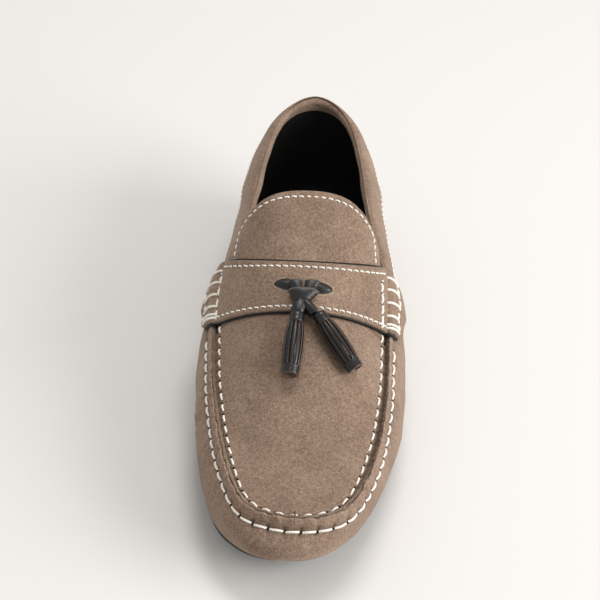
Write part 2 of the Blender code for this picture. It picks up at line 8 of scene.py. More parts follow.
import bmesh
import bpy
import numpy as np
from mathutils import Matrix, Quaternion, Vector
from mathutils.bvhtree import BVHTree


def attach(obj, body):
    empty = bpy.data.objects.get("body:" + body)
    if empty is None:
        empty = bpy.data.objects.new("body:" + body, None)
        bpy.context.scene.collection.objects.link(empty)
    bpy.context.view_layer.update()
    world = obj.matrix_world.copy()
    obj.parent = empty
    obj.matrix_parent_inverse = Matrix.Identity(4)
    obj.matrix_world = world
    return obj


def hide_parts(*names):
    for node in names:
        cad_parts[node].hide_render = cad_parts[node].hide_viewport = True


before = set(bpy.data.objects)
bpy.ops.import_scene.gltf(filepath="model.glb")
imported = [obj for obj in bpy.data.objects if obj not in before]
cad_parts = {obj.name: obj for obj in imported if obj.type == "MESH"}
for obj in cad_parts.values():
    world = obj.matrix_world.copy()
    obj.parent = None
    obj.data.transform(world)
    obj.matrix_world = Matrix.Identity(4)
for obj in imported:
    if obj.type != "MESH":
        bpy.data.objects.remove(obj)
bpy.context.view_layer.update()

# Camera: it stands where it stood for the photograph, some 0.65 m in front of the shoe and 0.58 m up.
# It is turned to this one shoe, and rolled so that the shoe leans as it does there.
CAMERA_PLACE = Vector((0.0107, -0.6526, 0.5758))
CAMERA_AIM = Vector((-0.0022, 0.0035, 0.0493))
CAMERA_ROLL = math.radians(1.94)
CAMERA_LENS_MM = 105.7

camera = bpy.data.objects.new("Camera", bpy.data.cameras.new("Camera"))
camera.data.lens = CAMERA_LENS_MM
camera.data.clip_start = 0.01
camera.location = CAMERA_PLACE
camera.rotation_mode = "QUATERNION"
facing = (CAMERA_AIM - CAMERA_PLACE).to_track_quat("-Z", "Y")
camera.rotation_quaternion = facing @ Quaternion((0, 0, 1), CAMERA_ROLL)
bpy.context.scene.collection.objects.link(camera)
bpy.context.scene.camera = camera

# Upper: the suede wall, drawn over the last and gathered into the hand-sewn ridge around the vamp.
# One hide, 2 mm thick, lined with black leather and glued down to the edge of the rubber sole.
LENGTH = 0.2850
BALL_WIDTH = 0.0985
INSTEP_HEIGHT = 0.104
HEEL_HEIGHT = 0.078
TOE_SPRING = 0.0125
ARCH_RISE = 0.0012
FORE_SOLE_THICKNESS = 0.0056
HEEL_SOLE_THICKNESS = 0.0110
SOLE_TOE_SETBACK = 0.0105
SOLE_HEEL_SETBACK = 0.0065
CLEARANCE = 0.0003
WALL_THICKNESS = 0.0020
RIM_TOE_SETBACK = 0.0070
RIM_HEEL_SETBACK = 0.0025
RIM_HALF_WIDTH = 0.43 * BALL_WIDTH
SEAM_WIDTH = 0.0050
SIDE_SEAM_WIDTH = 0.0038
SEAM_NARROWS = (0.06, 0.32)
VAMP_STEP = 0.0040
RIDGE_HEIGHT = 0.0020
RIDGE_THINNING = 0.35
THROAT_FROM_TOE = 0.1110
RIDGE_END_FROM_TOE = 0.1420
TOE_BLEND = 0.01
MEDIAL, LATERAL = 1, -1

# How finely the skin is drawn: steps along the rim, columns beside and behind the seam, and rows up to it,
# over the ridge and over the vamp
RIM_STEPS = 1201
SEWN_COLUMNS = 232
REAR_COLUMNS = 84
WALL_ROWS = 27
RIDGE_ROWS = 21
VAMP_ROWS = 23

# One row for each station from the toe (along 0) to the heel (along 1).
# Half widths are shares of BALL_WIDTH and heights of HEEL_HEIGHT; crown is a share of INSTEP_HEIGHT.
LAST_COLUMNS = ("along", "bulge_medial", "bulge_lateral", "rim_medial", "rim_lateral", "bulge_up",
                "rim_up_medial", "rim_up_lateral", "crown", "fullness")
LAST = np.array((
    (0.000, 0.025, -0.025, -0.010, 0.010, 0.360, 0.465, 0.465, 0.388, 0.00),
    (0.025, 0.215, 0.178, 0.218, 0.238, 0.360, 0.470, 0.458, 0.395, 0.00),
    (0.090, 0.350, 0.312, 0.315, 0.340, 0.345, 0.490, 0.460, 0.420, 0.00),
    (0.200, 0.440, 0.425, 0.390, 0.408, 0.325, 0.520, 0.475, 0.500, 0.00),
    (0.310, 0.483, 0.490, 0.432, 0.430, 0.310, 0.575, 0.525, 0.640, 0.00),
    (0.410, 0.500, 0.500, 0.447, 0.432, 0.305, 0.645, 0.620, 0.760, 0.05),
    (0.510, 0.475, 0.490, 0.410, 0.402, 0.305, 0.730, 0.735, 0.925, 0.55),
    (0.600, 0.430, 0.450, 0.340, 0.355, 0.315, 0.775, 0.765, 1.030, 1.00),
    (0.720, 0.390, 0.405, 0.285, 0.295, 0.335, 0.835, 0.805, 1.100, 1.00),
    (0.840, 0.365, 0.370, 0.240, 0.250, 0.355, 0.915, 0.885, 1.100, 1.00),
    (0.930, 0.305, 0.305, 0.185, 0.190, 0.360, 0.965, 0.955, 1.100, 1.00),
    (0.980, 0.185, 0.185, 0.103, 0.103, 0.360, 0.992, 0.992, 1.100, 1.00),
    (1.000, 0.000, 0.000, 0.000, 0.000, 0.360, 1.000, 1.000, 1.100, 1.00),
))

# The sole's outline at its top edge, the lift of its underside, and its growth towards the heel.
SOLE_COLUMNS = ("along", "medial", "lateral", "spring", "arch", "heel")
SOLE = np.array((
    (0.000, 0.030, -0.030, 1.000, 0.0, 0.00),
    (0.025, 0.225, 0.155, 0.800, 0.0, 0.00),
    (0.090, 0.352, 0.285, 0.520, 0.0, 0.00),
    (0.200, 0.425, 0.390, 0.225, 0.0, 0.00),
    (0.300, 0.450, 0.443, 0.050, 0.0, 0.00),
    (0.360, 0.445, 0.463, 0.000, 0.0, 0.00),
    (0.450, 0.410, 0.468, 0.000, 0.0, 0.00),
    (0.520, 0.370, 0.460, 0.000, 0.8, 0.00),
    (0.600, 0.330, 0.430, 0.000, 1.0, 0.02),
    (0.700, 0.317, 0.385, 0.000, 0.6, 0.12),
    (0.800, 0.320, 0.347, 0.000, 0.0, 0.45),
    (0.930, 0.285, 0.287, 0.000, 0.0, 0.95),
    (0.980, 0.175, 0.175, 0.000, 0.0, 1.00),
    (1.000, 0.000, 0.000, 0.000, 0.0, 1.00),
))

# The ridge is sewn through and through: the pitch of both its rows, longer round the toe than at the sides
TOE_PITCH = 0.0072
SIDE_PITCH = {MEDIAL: 0.0064, LATERAL: 0.0070}
TOE_REACH = 0.040
OUTER_ROW = 0.985
INNER_ROW = 2.05

# How deep the thread pulls the suede in, how far the gathers run down the wall, and how much of the ridge's
# inner slope is torn, which is most on the outer side
ROW_DENT = 0.00050
GATHER_DEPTH = 0.00028
GATHER_REACH = 0.0075
PUCKER_DEPTH = 0.00034
RIDGE_CREASE_DEPTH = 0.0011
RIDGE_CREASE_WIDTH = {MEDIAL: 0.00042, LATERAL: 0.00075}
TORN_SHARE = {MEDIAL: 0.35, LATERAL: 0.85}

# Creases of wear, as soft troughs: the side, how far from the toe and how far up the section each starts
# and ends, its depth and its half width in metres.
CREASE_COLUMNS = ("side", "toe_start", "across_start", "toe_end", "across_end", "depth", "width")
CREASES = (
    (LATERAL, 0.090, 2.42, 0.073, 2.62, 0.00030, 0.0016),
    (LATERAL, 0.082, 2.20, 0.070, 2.38, 0.00035, 0.0015),
    (LATERAL, 0.078, 2.75, 0.066, 2.93, 0.00025, 0.0017),
    (MEDIAL, 0.084, 2.30, 0.072, 2.60, 0.00025, 0.0018),
    (MEDIAL, 0.070, 0.95, 0.082, 0.45, 0.00060, 0.0024),
    (MEDIAL, 0.078, 0.92, 0.092, 0.40, 0.00045, 0.0020),
    (MEDIAL, 0.125, 0.85, 0.112, 0.30, 0.00050, 0.0030),
    (LATERAL, 0.098, 0.92, 0.088, 0.45, 0.00045, 0.0026),
    (LATERAL, 0.128, 0.80, 0.118, 0.30, 0.00050, 0.0032),
    (MEDIAL, 0.205, 0.70, 0.225, 0.30, 0.00045, 0.0040),
    (LATERAL, 0.200, 0.72, 0.222, 0.28, 0.00045, 0.0040),
)

SUEDE = "#846E5E"
SUEDE_NAP_LIGHT = "#A18B79"
SUEDE_NAP_DARK = "#665245"
NAP_HALO = "#E8D6C6"
RAW_HIDE = "#B89C84"
# Painted shade in the stitch holes and rows and in the ridge's crease and groove; also the darker colour of
# the torn edge
SHADE_AND_TEAR_BROWN = "#2A211C"
LINING_BLACK = "#141414"


def steady(xs, ys, x):
    """A smooth curve through the points that never overshoots between two of them."""
    step = np.diff(xs)
    rise = np.diff(ys) / step
    slope = np.zeros(len(xs))
    for i in range(1, len(xs) - 1):
        if rise[i - 1] * rise[i] > 0:
            before, after = 2 * step[i] + step[i - 1], step[i] + 2 * step[i - 1]
            slope[i] = (before + after) / (before / rise[i - 1] + after / rise[i])
    slope[0], slope[-1] = rise[0], rise[-1]
    i = np.clip(np.searchsorted(xs, x) - 1, 0, len(xs) - 2)
    t = np.clip((x - xs[i]) / step[i], 0, 1)
    return ((1 + 2 * t) * (1 - t) ** 2 * ys[i] + t * (1 - t) ** 2 * step[i] * slope[i]
            + t * t * (3 - 2 * t) * ys[i + 1] + t * t * (t - 1) * step[i] * slope[i + 1])


def turn(along):
    """Stations are spaced by angle, so that toe and heel come out round."""
    return np.arccos(1 - 2 * np.clip(along, 0, 1))


def even_turns(count):
    """Shares of the length that lie close together at the toe and at the heel."""
    return (1 - np.cos(np.linspace(0, math.pi, count))) / 2


FINE_TURNS = np.linspace(0, math.pi, 3001)
LAST_CURVES = {name: steady(turn(LAST[:, 0]), LAST[:, i], FINE_TURNS) for i, name in enumerate(LAST_COLUMNS)}
SOLE_CURVES = {name: steady(turn(SOLE[:, 0]), SOLE[:, i], FINE_TURNS) for i, name in enumerate(SOLE_COLUMNS)}


def last(name, along):
    return np.interp(turn(along), FINE_TURNS, LAST_CURVES[name])


def sole(name, along):
    return np.interp(turn(along), FINE_TURNS, SOLE_CURVES[name])


def side_name(side):
    return "medial" if side == MEDIAL else "lateral"


def plan(side, half_width, setback_toe, setback_heel, along):
    """Plan position of a half width, measured out from the middle to the medial or lateral side."""
    back = setback_toe + along * (LENGTH - setback_toe - setback_heel)
    return np.stack([-side * half_width * BALL_WIDTH, back - LENGTH / 2], -1)


def sole_bottom(along):
    return sole("spring", along) * TOE_SPRING + sole("arch", along) * ARCH_RISE


def sole_top(along):
    growth = (HEEL_SOLE_THICKNESS - FORE_SOLE_THICKNESS) * sole("heel", along)
    return sole("spring", along) * TOE_SPRING + FORE_SOLE_THICKNESS + growth


def sole_outline(side, along):
    return plan(side, sole(side_name(side), along), SOLE_TOE_SETBACK, SOLE_HEEL_SETBACK, along)


def rim_height(side, along):
    return last("rim_up_" + side_name(side), along) * HEEL_HEIGHT


def wall(side, along, up):
    """The wall: up 0 at the sole and 1 at the rim. It swells to its widest line and leans back in."""
    name = side_name(side)
    foot = sole_outline(side, along)
    bulge = plan(side, last("bulge_" + name, along), 0, 0, along)
    rim = plan(side, last("rim_" + name, along), RIM_TOE_SETBACK, RIM_HEEL_SETBACK, along)
    low = sole_top(along) + CLEARANCE
    widest = last("bulge_up", along) * HEEL_HEIGHT
    high = rim_height(side, along)
    z = low + (high - low) * up
    below = np.clip((z - low) / (widest - low), 0, 1)
    above = np.clip((z - widest) / (high - widest), 0, 1)
    swell = ((1 - (1 - below) ** 2.2) ** 0.8)[..., None]
    lean = (above ** (2.1 + 0.7 * along))[..., None]
    flat = np.where((z <= widest)[..., None], foot + (bulge - foot) * swell, bulge + (rim - bulge) * lean)
    return np.concatenate([flat, z[..., None]], -1)


def seam_width(along):
    """How wide the ridge is in plan: it stands steeper at the sides than round the toe."""
    share = np.clip((along - SEAM_NARROWS[0]) / (SEAM_NARROWS[1] - SEAM_NARROWS[0]), 0, 1)
    return SEAM_WIDTH + (SIDE_SEAM_WIDTH - SEAM_WIDTH) * share * share * (3 - 2 * share)


def vamp_edge(side, along):
    """The inner stitch row, where the ridge comes down to the vamp."""
    narrowing = 1 - seam_width(along) / RIM_HALF_WIDTH
    half_width = last("rim_" + side_name(side), along) * narrowing
    edge = plan(side, half_width, RIM_TOE_SETBACK, RIM_HEEL_SETBACK, along)
    back = edge[..., 1] + SEAM_WIDTH * (1 - along)
    return np.stack([edge[..., 0], back, rim_height(side, along) + VAMP_STEP], -1)


def vamp(side, along, inward):
    """The crowned top: inward 0 at the inner stitch row and 1 on the centre line."""
    near, far = vamp_edge(side, along), vamp_edge(-side, along)
    full = last("fullness", along)
    arch = (1 - (1 - inward) ** (2.3 + 0.4 * full)) ** (1 / (1 + 1.7 * full))
    rise = (last("crown", along) * INSTEP_HEIGHT - near[..., 2]) * np.clip(along / TOE_BLEND, 0, 1)
    middle = 0.5 * (near[..., 0] + far[..., 0])
    x = near[..., 0] + (middle - near[..., 0]) * inward
    return np.stack([x, near[..., 1], near[..., 2] + rise * arch], -1)


def section(side, along, across):
    """One point of the outer skin: across 0 to 1 is the wall, 1 to 2 the ridge, 2 to 3 the vamp."""
    along, across = np.broadcast_arrays(np.asarray(along, float), np.asarray(across, float))
    low = wall(side, along, np.clip(across, 0, 1))
    edge = vamp_edge(side, along)
    t = np.clip(across - 1, 0, 1)
    rise = VAMP_STEP * (np.sin(t * math.pi / 2) ** 0.8 - t) + RIDGE_HEIGHT * np.sin(np.pi * t ** 0.9) ** 0.8
    ridge = low + (edge - low) * t[..., None]
    ridge[..., 2] += rise
    high = vamp(side, along, np.clip(across - 2, 0, 1))
    point = np.where((across <= 1)[..., None], low, ridge)
    return np.where((across > 2)[..., None], high, point)


def outward(side, along, across):
    """The skin's normal, away from the foot."""
    along, across = np.broadcast_arrays(np.asarray(along, float), np.asarray(across, float))
    before, after = np.clip(along - 0.004, 0, 1), np.clip(along + 0.004, 0, 1)
    down, up = np.clip(across - 0.03, 0, 3), np.clip(across + 0.03, 0, 3)
    run = section(side, after, across) - section(side, before, across)
    climb = section(side, along, up) - section(side, along, down)
    normal = np.cross(climb, run) * side
    return normal / np.maximum(np.linalg.norm(normal, axis=-1, keepdims=True), 1e-9)


def on_skin(side, along, across, lift):
    return section(side, along, across) + outward(side, along, across) * np.asarray(lift)[..., None]


def station(side, from_toe, across):
    """The share along the last at which the skin is this far from the toe."""
    from_toe, across = np.broadcast_arrays(np.asarray(from_toe, float), np.asarray(across, float))
    along = from_toe / LENGTH
    for _ in range(8):
        missing = from_toe - LENGTH / 2 - section(side, along, across)[..., 1]
        along = np.clip(along + missing / LENGTH, 0, 1)
    return along


def rim_arc(side, along, across=1.0):
    """How far a point of the rim is from the toe, measured along the seam."""
    fine = even_turns(RIM_STEPS)
    line = section(side, fine, across)
    run = np.concatenate([[0], np.cumsum(np.linalg.norm(np.diff(line, axis=0), axis=1))])
    return np.interp(along, fine, run)


def at_arc(side, arc, across=1.0):
    fine = even_turns(RIM_STEPS)
    return np.interp(arc, rim_arc(side, fine, across), fine)


def wander(place, steps, seed):
    """A slow, uneven wave between -1 and 1 with no clear repeat, for what a hand made."""
    phase = np.random.default_rng(seed).uniform(0, 2 * math.pi, len(steps))
    return sum(np.sin(2 * math.pi * place / step + start) for step, start in zip(steps, phase)) / len(steps)


def near_line(value, middle, half_width):
    return np.exp(-((value - middle) / half_width) ** 2)


def stitches_to(side, arc):
    """How many stitches lie between the middle of the toe and a place on the seam."""
    fine = np.linspace(0, 0.4, 2001)
    pitch = SIDE_PITCH[side] + (TOE_PITCH - SIDE_PITCH[side]) * np.exp(-(fine / TOE_REACH) ** 4)
    return np.interp(arc, fine, np.concatenate([[0], np.cumsum(np.diff(fine) / pitch[1:])]))


def seam_relief(side, along, across):
    """Lift of the suede by the stitching, in metres, how much shade is painted there, with the darker torn
    edge, and how raw, from 0 to 1.
    """
    arc = rim_arc(side, along)
    ridge_end = rim_arc(side, station(side, RIDGE_END_FROM_TOE, 1.0))
    seed = 3 if side == MEDIAL else 11
    sewn = np.clip((ridge_end - arc) / 0.004, 0, 1)
    wave = np.cos(2 * math.pi * stitches_to(side, arc))
    hole = np.clip(-wave, 0, 1) ** 4

    # Below the ridge, gathers fade down the wall from the outer row, which is dented at each hole
    below = (OUTER_ROW - across) * (rim_height(side, along) - sole_top(along))
    fade = np.clip(1 - below / GATHER_REACH, 0, 1) ** 1.5 * (across < 1)
    beyond_toe = np.clip(arc / 0.008, 0, 1)
    strength = 0.75 + 0.35 * beyond_toe * wander(arc, (0.031, 0.017, 0.011), seed)
    lift = GATHER_DEPTH * wave * fade * strength * np.clip(below / 0.0012 + 0.2, 0, 1)
    row = near_line(below, 0, 0.0008) * (across < 1.02) + near_line(across, 1.0, 0.10) * (across >= 1.02)
    lift = lift - ROW_DENT * row * (0.55 + 0.9 * hole)
    # Painted shade along the outer row and in its dent, deepest at each hole
    shade_and_tear = row * (0.18 + 0.80 * hole)

    # On the ridge, puckers between the stitches, and the crease where the two hides meet, frayed along it
    ridge = np.clip(across - 1, 0, 1)
    inside = (across > 1) & (across < 2)
    pull = 0.8 + 0.5 * beyond_toe * wander(arc, (0.019, 0.008), seed + 2)
    lift = lift + PUCKER_DEPTH * wave * np.sin(math.pi * ridge) * inside * pull
    middle = 0.60 + 0.09 * beyond_toe * wander(arc, (0.0125, 0.0072, 0.0049), seed + 3)
    from_crease = (ridge - middle) * 0.0070
    patchy = np.clip(0.75 + 0.5 * beyond_toe * wander(arc, (0.021, 0.009), seed + 4), 0.15, 1)
    crease = near_line(from_crease, 0, RIDGE_CREASE_WIDTH[side]) * inside * patchy
    frayed = near_line(from_crease, -0.0010, 0.0005) * inside
    frayed = frayed * (0.5 + 0.5 * beyond_toe * wander(arc, (0.0033, 0.0021), seed + 5))
    lift = lift - RIDGE_CREASE_DEPTH * crease + 0.00030 * frayed

    # Past the crease, the torn edge of the vamp's hide, from the toe's bend back
    past_bend = np.clip((arc - 0.025) / 0.03, 0, 1)
    torn = np.clip((ridge - 0.58) / 0.10, 0, 1) * inside * past_bend * TORN_SHARE[side]
    shreds = 0.5 + 0.5 * wander(arc + 0.004 * ridge, (0.0031, 0.0017, 0.0011), seed + 6)
    lift = lift - 0.0005 * torn * shreds
    # The torn edge is darker in colour, carried in the same mask as the painted shade
    shade_and_tear = np.maximum(shade_and_tear, torn * (0.45 + 0.85 * shreds))

    # At the foot of the ridge, the groove of the inner row, and faint waves on the vamp beside it
    groove = near_line((across - 2) * RIM_HALF_WIDTH, 0.0004, 0.0006) * (across > 1.6)
    lift = lift - 0.0004 * groove
    # Painted shade in the ridge's crease and in the inner row's groove, deepest at each hole
    shade_and_tear = np.maximum(np.maximum(shade_and_tear, 0.92 * crease), groove * (0.30 + 0.65 * hole))
    beside = np.clip(1 - (across - 2) * RIM_HALF_WIDTH / 0.005, 0, 1) * (across >= 2)
    lift = lift + 0.00014 * wave * beside
    return lift * sewn, shade_and_tear * sewn, frayed * sewn


def crease_relief(side, along, across):
    """Lift of the suede by the creases of wear, each a trough with a low swelling beside it."""
    point = section(side, along, across)
    lift = np.zeros(point.shape[:-1])
    for crease in CREASES:
        entry = dict(zip(CREASE_COLUMNS, crease))
        own = entry["side"]
        start = section(own, station(own, entry["toe_start"], entry["across_start"]), entry["across_start"])
        end = section(own, station(own, entry["toe_end"], entry["across_end"]), entry["across_end"])
        line = end - start
        share = np.clip(((point - start) @ line) / (line @ line), 0, 1)
        away = np.linalg.norm(point - start - share[..., None] * line, axis=-1)
        depth = entry["depth"] * (0.35 + 0.65 * np.sin(math.pi * share))
        width = entry["width"]
        lift -= depth * (near_line(away, 0, width) - 0.45 * near_line(away, 2.1 * width, width))
    return lift


def suede_skin(side, along, across):
    """The suede's finished outer face, with stitching, creases and slack, its painted shade in holes, rows,
    crease and groove, its darker torn edge and its raw edges.
    """
    along, across = np.broadcast_arrays(np.asarray(along, float), np.asarray(across, float))
    lift, shade_and_tear, frayed = seam_relief(side, along, across)
    point = section(side, along, across)
    x, y, z = np.moveaxis(point, -1, 0)
    slack = wander(y + 0.7 * x, (0.047, 0.031), 5) * wander(z + 0.4 * y, (0.037, 0.023), 6)
    away = np.clip(np.minimum(across, np.abs(across - 1.5) - 0.5) * 4, 0, 1)
    lift = lift + crease_relief(side, along, across) + 0.0004 * slack * away
    return point + outward(side, along, across) * lift[..., None], shade_and_tear, frayed


def linear(code):
    """An sRGB hex colour as Blender's linear values."""
    shares = [int(code[i:i + 2], 16) / 255 for i in (1, 3, 5)]
    return tuple(c / 12.92 if c <= 0.04045 else ((c + 0.055) / 1.055) ** 2.4 for c in shares) + (1.0,)


def add_node(tree, kind, settings=None, links=None):
    """Adds one node to a tree. Settings are its properties and socket values; links give (node, output)."""
    node = tree.nodes.new(kind)
    for name, value in (settings or {}).items():
        if isinstance(name, int) or name in node.inputs:
            node.inputs[name].default_value = value
        else:
            setattr(node, name, value)
    for name, (source, output) in (links or {}).items():
        tree.links.new(source.outputs[output], node.inputs[name])
    return node


def calculate(tree, operation, *terms):
    """A Math node; each term is a number or the (node, output) it comes from."""
    node = add_node(tree, "ShaderNodeMath", {"operation": operation})
    for place, term in enumerate(terms):
        if isinstance(term, tuple):
            tree.links.new(term[0].outputs[term[1]], node.inputs[place])
        else:
            node.inputs[place].default_value = term
    return node


def texture(tree, kind, **settings):
    """A texture laid out in the piece's own metres: a Scale of 1000 gives cells of about 1 mm."""
    place = add_node(tree, "ShaderNodeTexCoord")
    return add_node(tree, kind, settings, {"Vector": (place, "Object")})


def colour_ramp(tree, source, *stops):
    """A ramp over the source's values, from (position, colour) stops."""
    node = add_node(tree, "ShaderNodeValToRGB", links={"Fac": source})
    elements = node.color_ramp.elements
    for position, colour in stops[1:-1]:
        elements.new(position).color = colour
    elements[0].position, elements[0].color = stops[0]
    elements[-1].position, elements[-1].color = stops[-1]
    return node


def new_material(name):
    material = bpy.data.materials.new(name)
    material.use_nodes = True
    material.node_tree.nodes.clear()
    return material


def finish_material(material, surface):
    add_node(material.node_tree, "ShaderNodeOutputMaterial", links={"Surface": (surface, "BSDF")})
    return material


def brushed_suede():
    """Split calf, buffed to a short nap: matt, with a soft halo where it turns away, and fine mottling.

    The nap's fibres are some 0.1 mm; they are drawn as 0.6 mm flecks, the finest that show in the render.
    """
    material = new_material("brushed suede")
    tree = material.node_tree
    lay = texture(tree, "ShaderNodeTexNoise", Scale=42.0, Detail=3.0, Roughness=0.6)
    mottle = texture(tree, "ShaderNodeTexNoise", Scale=640.0, Detail=4.0, Roughness=0.75)
    fleck = texture(tree, "ShaderNodeTexNoise", Scale=1700.0, Detail=2.0, Roughness=0.6)
    broad = calculate(tree, "MULTIPLY_ADD", (lay, "Fac"), 0.20, 0.0)
    both = calculate(tree, "MULTIPLY_ADD", (mottle, "Fac"), 0.38, (broad, "Value"))
    all_three = calculate(tree, "MULTIPLY_ADD", (fleck, "Fac"), 0.42, (both, "Value"))
    nap = colour_ramp(tree, (all_three, "Value"), (0.38, linear(SUEDE_NAP_DARK)), (0.50, linear(SUEDE)),
                      (0.62, linear(SUEDE_NAP_LIGHT)))
    # Painted shade of the seam's holes, rows, crease and groove, with the darker torn edge, mixed into the
    # nap's colour
    pit = add_node(tree, "ShaderNodeAttribute", {"attribute_name": "pit"})
    pitted = add_node(tree, "ShaderNodeMixRGB", {"Color2": linear(SHADE_AND_TEAR_BROWN)},
                      {"Fac": (pit, "Fac"), "Color1": (nap, "Color")})
    raw = add_node(tree, "ShaderNodeAttribute", {"attribute_name": "raw"})
    coloured = add_node(tree, "ShaderNodeMixRGB", {"Color2": linear(RAW_HIDE)},
                        {"Fac": (raw, "Fac"), "Color1": (pitted, "Color")})
    height = calculate(tree, "MULTIPLY_ADD", (mottle, "Fac"), 0.6, (fleck, "Fac"))
    bump = add_node(tree, "ShaderNodeBump", {"Strength": 0.75, "Distance": 0.00045},
                    {"Height": (height, "Value")})
    surface = add_node(tree, "ShaderNodeBsdfPrincipled",
                       {"Roughness": 0.92, "Specular IOR Level": 0.18, "Sheen Weight": 0.35,
                        "Sheen Roughness": 0.45, "Sheen Tint": linear(NAP_HALO)},
                       {"Base Color": (coloured, "Color"), "Normal": (bump, "Normal")})
    return finish_material(material, surface)


def smooth_black_leather(name, colour, roughness, grain_mm):
    """Drum-dyed calf with a closed grain: nearly black, a soft broad gloss, and pores of the given size."""
    material = new_material(name)
    tree = material.node_tree
    pores = texture(tree, "ShaderNodeTexVoronoi", Scale=1000.0 / grain_mm, Randomness=1.0)
    rub = texture(tree, "ShaderNodeTexNoise", Scale=260.0, Detail=4.0)
    rubbed = tuple(1.5 * c for c in linear(colour)[:3]) + (1.0,)
    tone = colour_ramp(tree, (rub, "Fac"), (0.30, linear(colour)), (0.75, rubbed))
    gloss = add_node(tree, "ShaderNodeMapRange", {"To Min": roughness - 0.07, "To Max": roughness + 0.12},
                     {"Value": (rub, "Fac")})
    bump = add_node(tree, "ShaderNodeBump", {"Strength": 0.35, "Distance": 0.00012},
                    {"Height": (pores, "Distance")})
    surface = add_node(tree, "ShaderNodeBsdfPrincipled", {"Specular IOR Level": 0.45},
                       {"Base Color": (tone, "Color"), "Roughness": (gloss, "Result"),
                        "Normal": (bump, "Normal")})
    return finish_material(material, surface)


suede = brushed_suede()
lining_leather = smooth_black_leather("black lining leather", LINING_BLACK, 0.46, 1.1)


def add_piece(name, mesh, *materials):
    item = bpy.data.objects.new(name, mesh)
    for material in materials:
        mesh.materials.append(material)
    bpy.context.scene.collection.objects.link(item)
    return item


def give(piece, slot, *nodes):
    """The piece rides on the shoe and may stand for nodes, which it hides; the slot is not used."""
    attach(piece, "root")
    if nodes:
        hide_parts(*nodes)


def put_attribute(mesh, name, values):
    """One number or one vector for each point."""
    values = np.asarray(values, np.float32)
    kind, key = ("FLOAT", "value") if values.ndim == 1 else ("FLOAT_VECTOR", "vector")
    mesh.attributes.new(name, kind, "POINT").data.foreach_set(key, values.ravel())


def plain_mesh(name, points, faces, materials=None, smooth=True, **attributes):
    """A mesh from points and faces: points that meet are merged and every face is turned outward."""
    mesh = bpy.data.meshes.new(name)
    mesh.from_pydata([tuple(p) for p in points], [], faces)
    if materials is not None:
        mesh.polygons.foreach_set("material_index", materials)
    for key, values in attributes.items():
        put_attribute(mesh, key, values)
    shape = bmesh.new()
    shape.from_mesh(mesh)
    bmesh.ops.remove_doubles(shape, verts=shape.verts, dist=0.00001)
    bmesh.ops.dissolve_degenerate(shape, edges=shape.edges, dist=0.000005)
    bmesh.ops.recalc_face_normals(shape, faces=shape.faces)
    shape.to_mesh(mesh)
    shape.free()
    if smooth:
        mesh.shade_smooth()
    return mesh


def grid_faces(rows, columns, start=0, closed=False):
    """Quads of a grid of points numbered row by row."""
    faces = []
    for i in range(rows - 1):
        for j in range(columns if closed else columns - 1):
            k = (j + 1) % columns
            here = start + i * columns
            faces.append((here + j, here + k, here + columns + k, here + columns + j))
    return faces


throat_along = station(MEDIAL, THROAT_FROM_TOE, 1.0)


def make_upper():
    """Columns run at even steps along the seam, close together where it is gathered."""
    seam_end = rim_arc(MEDIAL, station(MEDIAL, RIDGE_END_FROM_TOE, 1.0))
    heel = rim_arc(MEDIAL, 1.0)
    fore = np.linspace(0, seam_end, SEWN_COLUMNS)
    rear = np.linspace(seam_end, heel, REAR_COLUMNS)[1:]
    alongs = at_arc(MEDIAL, np.concatenate([fore, rear]))
    ridge_columns = len(fore)
    vamp_columns = int(np.searchsorted(alongs, throat_along))
    alongs[vamp_columns] = throat_along
    wall_rows = 1 - (1 - np.linspace(0, 1, WALL_ROWS)) ** 1.6
    ridge_rows = np.linspace(1, 2, RIDGE_ROWS)[1:]
    vamp_rows = 2 + np.linspace(0, 1, VAMP_ROWS)[1:] ** 1.5
    points, faces, pits, raws, ridges = [], [], [], [], []
    for side in (MEDIAL, LATERAL):
        for rows, count in (
                (wall_rows, len(alongs)),
                (np.concatenate([[1.0], ridge_rows]), ridge_columns),
                (np.concatenate([[2.0], vamp_rows]), vamp_columns + 1)):
            skin, shade_and_tear, frayed = suede_skin(side, alongs[:count, None], rows[None, :])
            start = len(points)
            points.extend(skin.reshape(-1, 3))
            # Painted shade and the darker torn edge, kept for the suede's colour
            pits.extend(shade_and_tear.reshape(-1))
            raws.extend(0.55 * frayed.reshape(-1))
            ridges.extend(((rows > 0.97) & (rows < 2.04))[None, :].repeat(count, 0).reshape(-1))
            faces.extend(grid_faces(count, len(rows), start))
    mesh = plain_mesh("upper", points, faces, pit=pits, raw=raws, ridge=ridges)
    middle = Vector((0, 0, 0.03))
    if sum((face.center - middle).dot(face.normal) * face.area for face in mesh.polygons) < 0:
        mesh.flip_normals()
    piece = add_piece("upper_suede", mesh, suede, lining_leather)
    full = piece.vertex_groups.new(name="full thickness")
    inner_half = mesh.attributes["ridge"].data
    full.add([v.index for v in mesh.vertices if inner_half[v.index].value < 0.5], 1.0, "REPLACE")
    wall_modifier = piece.modifiers.new("Wall", "SOLIDIFY")
    wall_modifier.thickness = WALL_THICKNESS
    wall_modifier.vertex_group = "full thickness"
    wall_modifier.thickness_vertex_group = RIDGE_THINNING
    wall_modifier.offset = -1
    wall_modifier.material_offset = 1
    wall_modifier.material_offset_rim = 0
    return piece


give(make_upper(), "upper", "upper")

